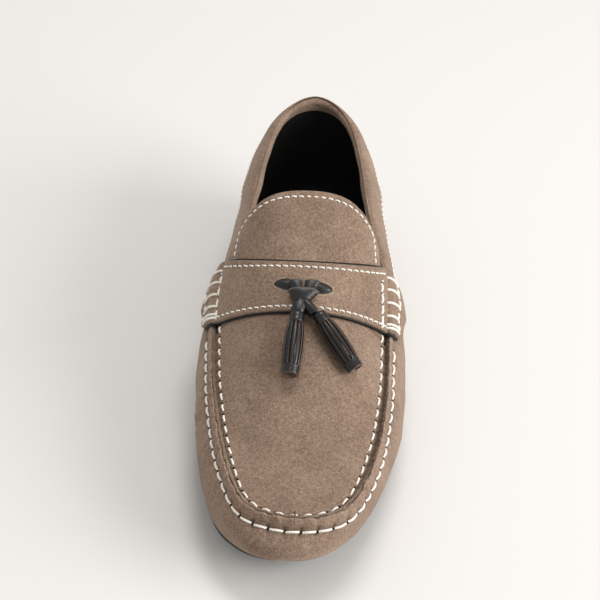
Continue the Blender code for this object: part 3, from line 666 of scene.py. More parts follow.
# Outsole: a thin rubber unit, glued on from toe to heel, with a low heel moulded in one with it.
# Its edge has a fine lip under the suede, a groove, and a rounded foot; the tread is shallow bars.
SOLE_GROOVE = 0.0006
SOLE_EDGE = ((0.25, 1.00), (0.0, 0.985), (0.0, 0.86), (0.9, 0.82), (1.0, 0.76), (0.0, 0.71), (0.0, 0.55),
             (0.3, 0.38), (0.8, 0.22), (1.6, 0.10), (2.4, 0.03), (3.4, 0.00))
TREAD_PITCH = 0.0042
TREAD_DEPTH = 0.0007
TREAD_MARGIN = 0.004
TREAD_ENDS = (0.012, 0.985)
TREAD_GAP = (0.52, 0.70)
RUBBER = "#1F1F20"
RUBBER_SCUFF = "#3C3B3A"


def moulded_rubber():
    """Compression-moulded rubber: dark grey, dull, with a faint dusty bloom in random patches."""
    material = new_material("moulded rubber")
    tree = material.node_tree
    dust = texture(tree, "ShaderNodeTexNoise", Scale=180.0, Detail=5.0, Roughness=0.7)
    grit = texture(tree, "ShaderNodeTexNoise", Scale=1400.0, Detail=2.0)
    tone = colour_ramp(tree, (dust, "Fac"), (0.42, linear(RUBBER)), (0.80, linear(RUBBER_SCUFF)))
    bump = add_node(tree, "ShaderNodeBump", {"Strength": 0.4, "Distance": 0.00015},
                    {"Height": (grit, "Fac")})
    surface = add_node(tree, "ShaderNodeBsdfPrincipled", {"Roughness": 0.62, "Specular IOR Level": 0.4},
                       {"Base Color": (tone, "Color"), "Normal": (bump, "Normal")})
    return finish_material(material, surface)


def has_tread(along):
    """The tread stops short of the toe and the heel, and leaves the waist smooth."""
    return TREAD_ENDS[0] < along < TREAD_ENDS[1] and not TREAD_GAP[0] < along < TREAD_GAP[1]


def make_outsole():
    """The edge follows the outline in steps. Both faces are lofted across, and the lower has its tread."""
    alongs = even_turns(241)
    around = [(MEDIAL, a) for a in alongs] + [(LATERAL, a) for a in alongs[-2:0:-1]]
    middle = {a: 0.5 * (sole_outline(MEDIAL, a) + sole_outline(LATERAL, a)) for a in alongs}
    points, faces = [], []
    for inset, up in SOLE_EDGE:
        for side, a in around:
            here = sole_outline(side, a)
            inwards = np.array([middle[a][0], -LENGTH / 2 + LENGTH * (0.3 + 0.4 * a)]) - here
            here = here + inwards / np.linalg.norm(inwards) * inset * SOLE_GROOVE
            points.append((*here, sole_bottom(a) + (sole_top(a) - sole_bottom(a)) * up))
    faces.extend(grid_faces(len(SOLE_EDGE), len(around), 0, closed=True))
    half = len(alongs) - 1
    shares = np.linspace(0, 1, 15)
    last_row = (len(SOLE_EDGE) - 1) * len(around)
    for first in (0, last_row):
        start = len(points)
        for i in range(1, half):
            one, other = np.array(points[first + i]), np.array(points[first - i % len(around) + len(around)])
            for share in shares:
                point = one + (other - one) * share
                edge_gap = min(share, 1 - share) * np.linalg.norm(other - one)
                if first and edge_gap > TREAD_MARGIN and has_tread(alongs[i]):
                    bar = math.sin(2 * math.pi * (point[1] + 0.25 * abs(point[0])) / TREAD_PITCH)
                    point[2] += TREAD_DEPTH * min(1, max(0, 0.5 + 2.2 * bar))
                points.append(point)
        faces.extend(grid_faces(half - 1, len(shares), start))
        for i, corner in ((1, first), (half - 1, first + half)):
            row = start + (i - 1) * len(shares)
            faces.extend((row + j, row + j + 1, corner) for j in range(len(shares) - 1))
    return add_piece("outsole_rubber", plain_mesh("outsole", points, faces), moulded_rubber())


give(make_outsole(), "outsole", "outsole")

# Insole: a full sock of black leather on a thin foam, laid in loose over the footbed.
# Its edge is rounded over, and the foot has pressed the heel and the ball in a little.
INSOLE_THICKNESS = 0.0020
INSOLE_EDGE_GAP = 0.0010


def make_insole():
    squeeze = 1 - 2 * (WALL_THICKNESS + INSOLE_EDGE_GAP) / LENGTH
    alongs = even_turns(121)[1:-1]
    shares = np.linspace(-1, 1, 31)
    points, faces = [], []
    for top in (True, False):
        start = len(points)
        for a in alongs:
            medial, lateral = sole_outline(MEDIAL, a), sole_outline(LATERAL, a)
            middle = 0.5 * (medial + lateral)
            half = max(0.5 * abs(medial[0] - lateral[0]) - WALL_THICKNESS - INSOLE_EDGE_GAP, 0)
            for share in shares:
                rounding = math.sqrt(max(0, 1 - max(0, (abs(share) - 0.93) / 0.07) ** 2))
                press = 0.0005 * math.exp(-((share / 0.5) ** 2)) * (math.exp(-((a - 0.86) / 0.07) ** 2)
                                                                     + math.exp(-((a - 0.36) / 0.10) ** 2))
                up = INSOLE_THICKNESS * (0.15 + 0.85 * rounding) - press if top else 0
                points.append((middle[0] - share * half, middle[1] * squeeze, sole_top(a) + CLEARANCE + up))
        faces.extend(grid_faces(len(alongs), len(shares), start))
    size = len(alongs) * len(shares)
    columns = len(shares)
    border = (list(range(columns)) + [i * columns + columns - 1 for i in range(1, len(alongs))]
              + [size - 1 - j for j in range(1, columns)]
              + [size - columns - i * columns for i in range(1, len(alongs))])
    for here, there in zip(border, border[1:]):
        faces.append((here, there, there + size, here + size))
    return add_piece("insole_sock", plain_mesh("insole", points, faces), lining_leather)


give(make_insole(), "insole", "insole")

# Tongue: the vamp's free end, which stands up behind the strap. Suede faced with black leather,
# cut round at its corners and sewn along its three free edges.
TONGUE_THICKNESS = 0.0015
TONGUE_FACING = 0.0005
TONGUE_FROM_TOE = 0.1620
TONGUE_CORNER = 0.0050
SHEET_EDGE = 0.0009
BACKING_EDGE = 0.0004
GLUE_GAP = 0.00003
PROBE = 0.001


def rounded_edge(points, radius):
    """For a grid of points, how full the sheet is there: 0 on its border and 1 a radius inside it."""
    shares = []
    for axis in (0, 1):
        steps = np.linalg.norm(np.diff(points, axis=axis), axis=-1)
        zero = np.zeros_like(np.take(steps, [0], axis=axis))
        run = np.cumsum(np.concatenate([zero, steps], axis=axis), axis=axis)
        total = np.take(run, [-1], axis=axis)
        shares.append(np.minimum(run, total - run))
    near = np.clip(np.minimum(*shares) / radius, 0, 1)
    return np.sqrt(1 - (1 - near) ** 2)


def make_sheet(name, base, out, thickness, material, edge=SHEET_EDGE, raw_edge=0.0, relief=None):
    """A closed sheet: a flat grid below, and above it one that rounds down to it along the border."""
    full = rounded_edge(base, edge)
    lift = thickness * full + (relief * full if relief is not None else 0)
    top = base + out * lift[..., None]
    rows, columns = base.shape[:2]
    points = np.concatenate([base.reshape(-1, 3), top.reshape(-1, 3)])
    faces = [face[::-1] for face in grid_faces(rows, columns)] + grid_faces(rows, columns, rows * columns)
    raw = np.concatenate([np.zeros(full.size), raw_edge * np.clip(1 - full.reshape(-1) / 0.8, 0, 1)])
    return add_piece(name, plain_mesh(name, points, faces, raw=raw), material)


def joined(medial, lateral):
    """The rows of one side, then those of the other back from where they meet."""
    return np.concatenate([medial, lateral[-2::-1]])


def over_shoe(half, value_at, *rest):
    """A grid from the medial edge over the centre line to the lateral edge; half holds one side's places."""
    return joined(*[value_at(side, half[:, None], *rest) for side in (MEDIAL, LATERAL)])


def tongue_at(side, across, back, lift):
    """A point of the tongue: back runs from 0 at the throat to 1 at its free edge."""
    across, back = np.broadcast_arrays(np.asarray(across, float), np.asarray(back, float))
    start = section(side, throat_along, across)[..., 1] + LENGTH / 2 + CLEARANCE
    end = TONGUE_FROM_TOE - TONGUE_CORNER * (3 - across) ** 4
    along = station(side, start + (end - start) * back, across)
    return on_skin(side, along, across, np.full_like(across, lift))


def tongue_out(side, across, back):
    return (tongue_at(side, across, back, PROBE) - tongue_at(side, across, back, 0.0)) / PROBE


def make_tongue():
    back = np.concatenate([np.linspace(0, 0.94, 44), [0.955, 0.97, 0.98, 0.99, 0.996, 1.0]])
    edge = 2 + CLEARANCE / RIM_HALF_WIDTH
    half = edge + (3 - edge) * np.concatenate([[0, 0.006, 0.014], np.linspace(0.025, 1, 26)])
    out = over_shoe(half, tongue_out, back)
    bottom = over_shoe(half, tongue_at, back, -TONGUE_THICKNESS)
    middle = bottom + out * TONGUE_FACING
    slack = 0.00025 * wander(middle[..., 0] + 0.6 * middle[..., 1], (0.031, 0.019), 21)
    face = make_sheet("tongue_suede", middle, out, TONGUE_THICKNESS - TONGUE_FACING, suede, raw_edge=0.8,
                      relief=slack)
    facing_sheet = make_sheet("tongue_facing", bottom, out, TONGUE_FACING - GLUE_GAP, lining_leather,
                              edge=BACKING_EDGE)
    return face, facing_sheet


tongue_suede, tongue_facing = make_tongue()
give(tongue_suede, "tongue", "tongue")
give(tongue_facing, "tongue")

# Collar band: a strip of the same suede sewn round the topline, turned over the rim like a binding.
# It is hidden at its front ends by the strap's tabs, and inside it meets the black lining.
BAND_THICKNESS = 0.0012
BAND_HEIGHT = 0.0180
BAND_FROM_TOE = 0.1430
BAND_CORNER = 0.0070
BAND_ROLL_DROP = 0.0016
BAND_INSIDE = 0.0045


def band_side(side, count, depths, angles, inside):
    """Base points and outward directions of one side: from the lower edge, over the rim and down inside."""
    first = rim_arc(side, station(side, BAND_FROM_TOE, 1.0))
    along = at_arc(side, np.linspace(first, rim_arc(side, 1.0), count))[:, None]
    rim, below = section(side, along, 1.0), section(side, along, 0.94)
    up = (rim - below) / np.linalg.norm(rim - below, axis=-1, keepdims=True)
    out = outward(side, along, 0.97)
    corner = np.clip((rim[..., 1] + LENGTH / 2 - BAND_FROM_TOE) / BAND_CORNER, 0, 1)
    height = BAND_HEIGHT - BAND_CORNER * (1 - np.sqrt(corner * (2 - corner)))
    wall_height = rim_height(side, along) - sole_top(along)
    radius = WALL_THICKNESS / 2 + CLEARANCE
    drop = BAND_ROLL_DROP + radius + BAND_THICKNESS
    centre = rim - out * WALL_THICKNESS / 2 - up * (drop - WALL_THICKNESS / 2)
    low = 1 - height / wall_height
    ups = low + (1 - drop / wall_height - low) * depths
    turned = np.cos(angles)[:, None] * out + np.sin(angles)[:, None] * up
    down_inside = centre - out * radius - up * inside[:, None] * BAND_INSIDE
    on_wall = on_skin(side, along, ups, CLEARANCE + 0 * ups)
    base = np.concatenate([on_wall, centre + turned * radius, down_inside], 1)
    outs = np.concatenate([outward(side, along, ups), turned, -out + 0 * down_inside], 1)
    return base, outs


def make_band():
    depths = np.concatenate([[0, 0.008, 0.02], np.linspace(0.04, 0.96, 17)])
    angles = np.linspace(0.15, math.pi, 11)
    inside = np.array([0.3, 0.6, 0.85, 0.95, 1.0])
    medial, lateral = [band_side(side, 111, depths, angles, inside) for side in (MEDIAL, LATERAL)]
    base, out = [joined(*pair) for pair in zip(medial, lateral)]
    slack = 0.0003 * wander(base[..., 1] + base[..., 2], (0.043, 0.027), 31)
    return make_sheet("collar_band_suede", base, out, BAND_THICKNESS, suede, edge=0.0008, raw_edge=0.5,
                      relief=slack)


give(make_band(), "collar_band", "collar_band")

# Strap: the saddle across the vamp, suede backed with black leather that shows along its front edge.
# It lies over both sewn ridges, is whipped to them, and ends in a rounded tab on each wall.
STRAP_THICKNESS = 0.0016
STRAP_BACKING = 0.0006
STRAP_BACKING_SHOWS = 0.040
STRAP_REAR_SHARE = 0.80
STRAP_FROM_TOE = 0.1083
STRAP_WIDTH = 0.0222
STRAP_FRONT_RAKE = 0.56
STRAP_BACK_RAKE = 1.18
TAB_END_FROM_TOE = 0.1540
STRAP_EASE = 0.0004
BAND_RAMP = 0.0060
TAB = np.array(((0.00, 0.96), (0.12, 0.865), (0.50, 0.815), (0.80, 0.835), (0.93, 0.88), (1.00, 0.96)))


def raked(side, across, from_toe, rake):
    """The share along the last at which the skin meets an edge that runs back as it goes down."""
    furthest = TAB_END_FROM_TOE - LENGTH / 2
    top = section(side, station(side, from_toe, 3.0), 3.0)[..., 2]
    along = from_toe / LENGTH + 0 * across
    for _ in range(20):
        here = section(side, along, across)
        edge = from_toe - LENGTH / 2 + rake * (top - here[..., 2])
        along = np.clip(along + 0.6 * (np.minimum(edge, furthest) - here[..., 1]) / LENGTH, 0, 1)
    return along


def strap_at(side, across, back, lift):
    """A point over the skin: across runs down to 0 at the tab's lower edge, back from 0 to 1."""
    across, back = np.broadcast_arrays(np.asarray(across, float), np.asarray(back, float))
    lowest = steady(TAB[:, 0], TAB[:, 1], np.clip(back, 0, 1))
    across = np.where(across < 1, lowest + (1 - lowest) * across, across)
    front = raked(side, across, STRAP_FROM_TOE, STRAP_FRONT_RAKE)
    rear = raked(side, across, STRAP_FROM_TOE + STRAP_WIDTH, STRAP_BACK_RAKE)
    along = front + (rear - front) * back
    from_toe = section(side, along, across)[..., 1] + LENGTH / 2
    over = np.clip((from_toe - BAND_FROM_TOE) / BAND_RAMP + 2, 0, 1)
    ramp = over * over * (3 - 2 * over) * np.clip((1.6 - across) / 0.5, 0, 1)
    rise = ramp * (BAND_THICKNESS + CLEARANCE) + CLEARANCE + STRAP_EASE + lift
    return on_skin(side, along, across, rise)


def strap_out(side, across, back):
    return (strap_at(side, across, back, PROBE) - strap_at(side, across, back, 0.0)) / PROBE


def make_strap():
    back = np.concatenate([[0, 0.008, 0.02, 0.035], np.linspace(0.06, 0.94, 28), [0.965, 0.98, 0.992, 1.0]])
    half = np.concatenate([[0, 0.012, 0.03, 0.07], np.linspace(0.12, 1, 13), np.linspace(1.06, 1.95, 16),
                           [1.98, 2.01, 2.03], np.linspace(2.06, 3, 30)])
    base = over_shoe(half, strap_at, back, STRAP_BACKING)
    out = over_shoe(half, strap_out, back)
    across = joined(half, half)[:, None]
    slack = 0.00022 * wander(base[..., 0] + 0.5 * base[..., 1], (0.029, 0.017), 41)
    dip = 0.00035 * (near_line(back, 0.09, 0.05) + near_line(back, 0.93, 0.05)) * (across > 2.03)
    face = make_sheet("strap_suede", base, out, STRAP_THICKNESS - STRAP_BACKING, suede, edge=0.0007,
                      raw_edge=0.7, relief=slack - dip)
    wide = np.concatenate([[-STRAP_BACKING_SHOWS], back[1:-1], [1 + STRAP_REAR_SHARE * STRAP_BACKING_SHOWS]])
    lower = over_shoe(half, strap_at, wide, GLUE_GAP)
    outs = over_shoe(half, strap_out, wide)
    backing = make_sheet("strap_backing", lower, outs, STRAP_BACKING - 2 * GLUE_GAP, lining_leather,
                         edge=BACKING_EDGE)
    return face, backing


strap_suede, strap_backing = make_strap()
give(strap_suede, "strap", "strap")
give(strap_backing, "strap")

# Thread: waxed white polyester. Both hides of the ridge are sewn by hand with a heavy one, in two rows,
# and the tongue, strap and collar band by machine with a finer one. Each stitch dives into its holes.
THREAD_WHITE = "#F4F0E8"
THREAD_SHADE = "#CFC6B8"
# Painted shade of the stitch holes: near black, with some dark brown fuzz
HOLE_DARK = "#120D0A"
HOLE_FUZZ = "#3A2C23"
HEAVY_THREAD = 0.00112
FINE_THREAD = 0.00080
STITCH_SHARE = 0.80
MACHINE_PITCH = 0.0034
MACHINE_SHARE = 0.72
HOLE_SIZE = 0.00045
MACHINE_HOLE = 0.00036
MACHINE_BOW = 0.00034
MACHINE_SINK = 0.00030
STEP_ALONG = 0.0006
STRAP_ROW_INSET = 0.0021
TONGUE_ROW_INSET = 0.0044
BAND_ROW_INSET = 0.0030
STRAP_ROW_SINK = 0.00030
TONGUE_ROW_SINK = 0.00022
BAND_ROW_SINK = 0.00015


def waxed_thread():
    """Twisted polyester, waxed: near white, a slight gloss, and fine slanting plies that catch shade."""
    material = new_material("waxed thread")
    tree = material.node_tree
    plies = texture(tree, "ShaderNodeTexWave", Scale=420.0, Distortion=1.5, Detail=1.0,
                    bands_direction="DIAGONAL")
    tone = colour_ramp(tree, (plies, "Fac"), (0.0, linear(THREAD_SHADE)), (0.45, linear(THREAD_WHITE)))
    bump = add_node(tree, "ShaderNodeBump", {"Strength": 0.5, "Distance": 0.0002},
                    {"Height": (plies, "Fac")})
    surface = add_node(tree, "ShaderNodeBsdfPrincipled",
                       {"Roughness": 0.55, "Specular IOR Level": 0.35, "Sheen Weight": 0.15},
                       {"Base Color": (tone, "Color"), "Normal": (bump, "Normal")})
    return finish_material(material, surface)


def hole_shade_disc():
    """Painted shade for the awl's hole beside a stitch, where the suede is pierced and in shadow: a dark
    disc with a little brown fuzz.
    """
    material = new_material("painted hole shade")
    tree = material.node_tree
    fuzz = texture(tree, "ShaderNodeTexNoise", Scale=1500.0)
    tone = colour_ramp(tree, (fuzz, "Fac"), (0.0, linear(HOLE_DARK)), (1.0, linear(HOLE_FUZZ)))
    surface = add_node(tree, "ShaderNodeBsdfPrincipled", {"Roughness": 1.0, "Specular IOR Level": 0.05},
                       {"Base Color": (tone, "Color")})
    return finish_material(material, surface)


def set_inputs(modifier, **values):
    """Sets a Geometry Nodes modifier's inputs by their names."""
    for socket in modifier.node_group.interface.items_tree:
        if socket.item_type == "SOCKET" and socket.in_out == "INPUT" and socket.name in values:
            modifier[socket.identifier] = values[socket.name]


def stitch_tree(thread, hole):
    """At each point of a row it lays one bowed length of thread along the seam, and after it a dark disc of
    painted shade for its hole.
    """
    tree = bpy.data.node_groups.new("Row of stitches", "GeometryNodeTree")
    tree.interface.new_socket("Row", in_out="INPUT", socket_type="NodeSocketGeometry")
    for name in ("Length", "Thickness", "Bow", "Sink", "Hole", "Slant", "Uneven"):
        tree.interface.new_socket(name, in_out="INPUT", socket_type="NodeSocketFloat")
    tree.interface.new_socket("Seed", in_out="INPUT", socket_type="NodeSocketInt")
    tree.interface.new_socket("Stitches", in_out="OUTPUT", socket_type="NodeSocketGeometry")
    given = add_node(tree, "NodeGroupInput")
    run = add_node(tree, "GeometryNodeInputNamedAttribute", {"data_type": "FLOAT_VECTOR", "Name": "run"})
    out = add_node(tree, "GeometryNodeInputNamedAttribute", {"data_type": "FLOAT_VECTOR", "Name": "out"})
    reach = add_node(tree, "GeometryNodeInputNamedAttribute", {"data_type": "FLOAT", "Name": "reach"})
    forward = add_node(tree, "FunctionNodeAlignRotationToVector", {"axis": "X"},
                       {"Vector": (run, "Attribute")})
    upright = add_node(tree, "FunctionNodeAlignRotationToVector", {"axis": "Z", "pivot_axis": "X"},
                       {"Rotation": (forward, "Rotation"), "Vector": (out, "Attribute")})
    least = calculate(tree, "SUBTRACT", (given, "Slant"), (given, "Uneven"))
    most = calculate(tree, "ADD", (given, "Slant"), (given, "Uneven"))
    slant = add_node(tree, "FunctionNodeRandomValue", {"data_type": "FLOAT"},
                     {2: (least, "Value"), 3: (most, "Value"), "Seed": (given, "Seed")})
    slant_turn = add_node(tree, "ShaderNodeCombineXYZ", links={"Z": (slant, 1)})
    turned = add_node(tree, "FunctionNodeRotateRotation", {"rotation_space": "LOCAL"},
                      {"Rotation": (upright, "Rotation"), "Rotate By": (slant_turn, "Vector")})
    half = calculate(tree, "MULTIPLY", (given, "Length"), 0.5)
    other_half = calculate(tree, "MULTIPLY", (given, "Length"), -0.5)
    low = calculate(tree, "MULTIPLY", (given, "Sink"), -1.0)
    high = calculate(tree, "MULTIPLY_ADD", (given, "Bow"), 2.0, (given, "Sink"))
    start = add_node(tree, "ShaderNodeCombineXYZ", links={"X": (other_half, "Value"), "Z": (low, "Value")})
    top = add_node(tree, "ShaderNodeCombineXYZ", links={"Z": (high, "Value")})
    end = add_node(tree, "ShaderNodeCombineXYZ", links={"X": (half, "Value"), "Z": (low, "Value")})
    bow = add_node(tree, "GeometryNodeCurveQuadraticBezier", {"Resolution": 7},
                   {"Start": (start, "Vector"), "Middle": (top, "Vector"), "End": (end, "Vector")})
    radius = calculate(tree, "MULTIPLY", (given, "Thickness"), 0.5)
    round_thread = add_node(tree, "GeometryNodeCurvePrimitiveCircle", {"Resolution": 8},
                            {"Radius": (radius, "Value")})
    tube = add_node(tree, "GeometryNodeCurveToMesh", {"Fill Caps": True},
                    {"Curve": (bow, "Curve"), "Profile Curve": (round_thread, "Curve")})
    stretch = add_node(tree, "ShaderNodeCombineXYZ", {"Y": 1.0, "Z": 1.0}, {"X": (reach, "Attribute")})
    laid = add_node(tree, "GeometryNodeInstanceOnPoints", links={
        "Points": (given, "Row"), "Instance": (tube, "Mesh"), "Rotation": (turned, "Rotation"),
        "Scale": (stretch, "Vector")})
    # Painted shade: a flattened dark bead stands in each hole
    bead = add_node(tree, "GeometryNodeMeshIcoSphere", {"Radius": 1.0, "Subdivisions": 2})
    flat = calculate(tree, "MULTIPLY", (given, "Hole"), 0.35)
    hole_size = add_node(tree, "ShaderNodeCombineXYZ", {}, {"X": (given, "Hole"), "Y": (given, "Hole"),
                                                            "Z": (flat, "Value")})
    gap = calculate(tree, "MULTIPLY", (half, "Value"), (reach, "Attribute"))
    beyond = calculate(tree, "ADD", (gap, "Value"), (given, "Hole"))
    step = add_node(tree, "ShaderNodeVectorMath", {"operation": "SCALE"},
                    {0: (run, "Attribute"), "Scale": (beyond, "Value")})
    moved = add_node(tree, "GeometryNodeSetPosition",
                     links={"Geometry": (given, "Row"), "Offset": (step, "Vector")})
    hole_shade_beads = add_node(tree, "GeometryNodeInstanceOnPoints", links={
        "Points": (moved, "Geometry"), "Instance": (bead, "Mesh"), "Rotation": (upright, "Rotation"),
        "Scale": (hole_size, "Vector")})
    both = add_node(tree, "GeometryNodeJoinGeometry")
    for placed, finish in ((laid, thread), (hole_shade_beads, hole)):
        real = add_node(tree, "GeometryNodeRealizeInstances", links={"Geometry": (placed, "Instances")})
        dyed = add_node(tree, "GeometryNodeSetMaterial", {"Material": finish},
                        {"Geometry": (real, "Geometry")})
        tree.links.new(dyed.outputs["Geometry"], both.inputs["Geometry"])
    smooth = add_node(tree, "GeometryNodeSetShadeSmooth", links={"Geometry": (both, "Geometry")})
    add_node(tree, "NodeGroupOutput", links={"Stitches": (smooth, "Geometry")})
    return tree


def made_real(name, mesh, tree, **inputs):
    """Runs a tree on a mesh and keeps the result as a plain piece, without empty material slots."""
    carrier = add_piece(name, mesh)
    modifier = carrier.modifiers.new("Made", "NODES")
    modifier.node_group = tree
    set_inputs(modifier, **inputs)
    bpy.context.view_layer.update()
    result = bpy.data.meshes.new_from_object(carrier.evaluated_get(bpy.context.evaluated_depsgraph_get()))
    carrier.modifiers.clear()
    for slot in reversed(range(len(result.materials))):
        if result.materials[slot] is None:
            result.materials.pop(index=slot)
    carrier.data = result
    result.name = name
    return carrier


THREAD, HOLE_SHADE = waxed_thread(), hole_shade_disc()
STITCHES = stitch_tree(THREAD, HOLE_SHADE)


def sew(name, rows, length, thickness, bow, sink, slant=0.0, uneven=0.05, hole=HOLE_SIZE, seed=1):
    """Rows hold stitch middles, their directions along the seam and out of it, and relative lengths."""
    points, runs, outs, reach = [np.concatenate([row[i] for row in rows]) for i in range(4)]
    mesh = bpy.data.meshes.new(name)
    mesh.from_pydata([tuple(p) for p in points], [], [])
    put_attribute(mesh, "run", runs)
    put_attribute(mesh, "out", outs)
    put_attribute(mesh, "reach", reach)
    return made_real(name, mesh, STITCHES, Length=length, Thickness=thickness, Bow=bow, Sink=sink, Hole=hole,
                     Slant=slant, Uneven=uneven, Seed=seed)


def along_line(points, outs, pitch):
    """Even steps along a fine line, as the middles, directions and lengths of a row of stitches."""
    steps = np.linalg.norm(np.diff(points, axis=0), axis=1)
    arc = np.concatenate([[0], np.cumsum(steps)])
    places = np.linspace(pitch / 2, arc[-1] - pitch / 2, int(arc[-1] / pitch + 0.5))

    def at(values, where):
        return np.stack([np.interp(where, arc, values[:, i]) for i in range(3)], -1)

    run = at(points, places + STEP_ALONG) - at(points, places - STEP_ALONG)
    run /= np.linalg.norm(run, axis=1, keepdims=True)
    return at(points, places), run, at(outs, places), np.ones(len(places))


def ridge_row(side, across, end_arc, first):
    """Stitches of the ridge on one side, from the toe to the strap, set by the count along the rim."""
    fine = np.linspace(0, 0.2, 2001)
    count = int(stitches_to(side, end_arc))
    arcs = np.interp(np.arange(first, count + 1), stitches_to(side, fine), fine)
    near = 0.0007
    along, ahead, behind = [at_arc(side, np.clip(arcs + step, 0, 1)) for step in (0, near, -near)]
    behind = np.where(arcs > 0, behind, 0)
    point = suede_skin(side, along, across)[0]
    run = suede_skin(side, ahead, across)[0] - suede_skin(side, behind, across)[0]
    if first == 0:
        run[0] = (1, 0, 0)
    run /= np.linalg.norm(run, axis=-1, keepdims=True)
    pitch = PROBE / (stitches_to(side, arcs + PROBE) - stitches_to(side, arcs))
    local = np.linalg.norm(suede_skin(side, ahead, across)[0] - point, axis=-1) / near
    reach = pitch * local / TOE_PITCH
    if first == 0:
        reach[0] = reach[1]
    return point, run, outward(side, along, across), reach


def strap_front_arc(side):
    """Where the strap's front edge crosses the ridge, as a distance along the seam."""
    return rim_arc(side, raked(side, np.array([1.5]), STRAP_FROM_TOE, STRAP_FRONT_RAKE))[0]


FIRST_STITCH = {MEDIAL: 0, LATERAL: 1}
outer_rows, inner_rows = [[ridge_row(side, across, strap_front_arc(side), first)
                           for side, first in FIRST_STITCH.items()] for across in (OUTER_ROW, INNER_ROW)]
outer_seam = sew("seam_stitches_outer", outer_rows, TOE_PITCH * STITCH_SHARE, HEAVY_THREAD, 0.00040, 0.00050,
                 uneven=0.07, hole=0.00055, seed=3)
inner_seam = sew("seam_stitches_inner", inner_rows, TOE_PITCH * 0.56, HEAVY_THREAD * 0.90, 0.00042, 0.00045,
                 slant=0.06, uneven=0.10, hole=0.00060, seed=4)
give(outer_seam, "upper")
give(inner_seam, "upper")


def strap_rows():
    """Two machine rows across the strap, just inside its front and rear edges."""
    rows = []
    half = np.linspace(2.04, 3, 40)
    for back in (STRAP_ROW_INSET / STRAP_WIDTH, 1 - STRAP_ROW_INSET / STRAP_WIDTH):
        points = over_shoe(half, strap_at, np.array([back]), STRAP_THICKNESS)[:, 0]
        outs = over_shoe(half, strap_out, np.array([back]))[:, 0]
        rows.append(along_line(points - STRAP_ROW_SINK * outs, outs, MACHINE_PITCH))
    return rows


strap_seam = sew("strap_stitches", strap_rows(), MACHINE_PITCH * MACHINE_SHARE, FINE_THREAD, MACHINE_BOW,
                 MACHINE_SINK, slant=-0.14, uneven=0.06, hole=MACHINE_HOLE, seed=5)
give(strap_seam, "strap")


def tongue_row():
    """One machine row round the tongue's three free edges."""
    edge = 2 + (CLEARANCE + TONGUE_ROW_INSET) / RIM_HALF_WIDTH
    up = np.linspace(0.36, 0.90, 26)
    corner = np.linspace(0, math.pi / 2, 12)[1:-1]
    side_places = [(edge, t) for t in up]
    side_places += [(edge + 0.10 * (1 - math.cos(c)), 0.90 + 0.035 * math.sin(c)) for c in corner]
    top_places = [(t, 0.935) for t in np.linspace(edge + 0.10, 3.0, 26)]
    half = side_places + top_places
    points, outs = [], []
    for side, places in ((MEDIAL, half), (LATERAL, half[-2::-1])):
        for across, back in places:
            points.append(tongue_at(side, across, back, 0.0))
            outs.append(tongue_out(side, across, back))
    points, outs = np.array(points), np.array(outs)
    return along_line(points - TONGUE_ROW_SINK * outs, outs, MACHINE_PITCH)


tongue_seam = sew("tongue_stitches", [tongue_row()], MACHINE_PITCH * MACHINE_SHARE, FINE_THREAD, MACHINE_BOW,
                  MACHINE_SINK, slant=-0.12, uneven=0.06, hole=MACHINE_HOLE, seed=6)
give(tongue_seam, "tongue")


def band_row(side):
    """One machine row along the collar band, above its lower edge."""
    first, heel = rim_arc(side, station(side, BAND_FROM_TOE + 0.004, 1.0)), rim_arc(side, 1.0)
    along = at_arc(side, np.linspace(first, heel, 120))
    depth = (BAND_HEIGHT - BAND_ROW_INSET) / (rim_height(side, along) - sole_top(along))
    outs = outward(side, along, 1 - depth)
    points = on_skin(side, along, 1 - depth, 0 * along + CLEARANCE + BAND_THICKNESS - 0.0001)
    return points, outs


band_points, band_outs = [joined(*pair) for pair in zip(band_row(MEDIAL), band_row(LATERAL))]
band_rows = [along_line(band_points - BAND_ROW_SINK * band_outs, band_outs, MACHINE_PITCH)]
band_seam = sew("collar_band_stitches", band_rows, MACHINE_PITCH * MACHINE_SHARE, FINE_THREAD, MACHINE_BOW,
                MACHINE_SINK, slant=-0.10, uneven=0.05, hole=0.00034, seed=8)
give(band_seam, "collar_band")

# Whipping: the strap is bound down to each ridge with the heavy thread. A running row lies in the valley
# on each side of the ridge, and from hole to hole a bar crosses it.
WHIP_PITCH = 0.0063
WHIP_THREAD = 0.00130
WHIP_FIRST = 0.05
WHIP_LAST = 0.80
WHIP_DOUBLED = 0.105
WHIP_SINK = 0.00015
WHIP_INNER = {MEDIAL: 2.045, LATERAL: 2.10}
WHIP_OUTER = {MEDIAL: 0.75, LATERAL: 0.88}


def whipped(side):
    """The running rows inside and outside a ridge, as points and outward directions."""
    backs = np.linspace(WHIP_FIRST, WHIP_LAST, 60)
    return [(strap_at(side, across, backs, STRAP_THICKNESS), strap_out(side, across, backs))
            for across in (WHIP_INNER[side], WHIP_OUTER[side])]


def bar_line(side, back):
    """Over the ridge from the inner valley to the outer row, on the strap's own surface."""
    inner, outer = WHIP_INNER[side], WHIP_OUTER[side]
    across = np.concatenate([[inner], np.linspace(1.96, 1.0, 15), np.linspace(0.95, outer, 4)])
    points = strap_at(side, across, back, STRAP_THICKNESS + 0.3 * WHIP_THREAD)
    ends = strap_at(side, np.array([inner, outer]), back, 0.0)
    return np.concatenate([ends[:1], points, ends[1:]])


def shell(rings):
    """Points and faces of a skin drawn over rings of points, with its ends filled."""
    rings = [np.asarray(ring) for ring in rings]
    sides = len(rings[0])
    points = [tuple(p) for ring in rings for p in ring]
    faces = grid_faces(len(rings), sides, closed=True)
    faces += [tuple(range(sides))[::-1], tuple(range((len(rings) - 1) * sides, len(rings) * sides))]
    return points, faces


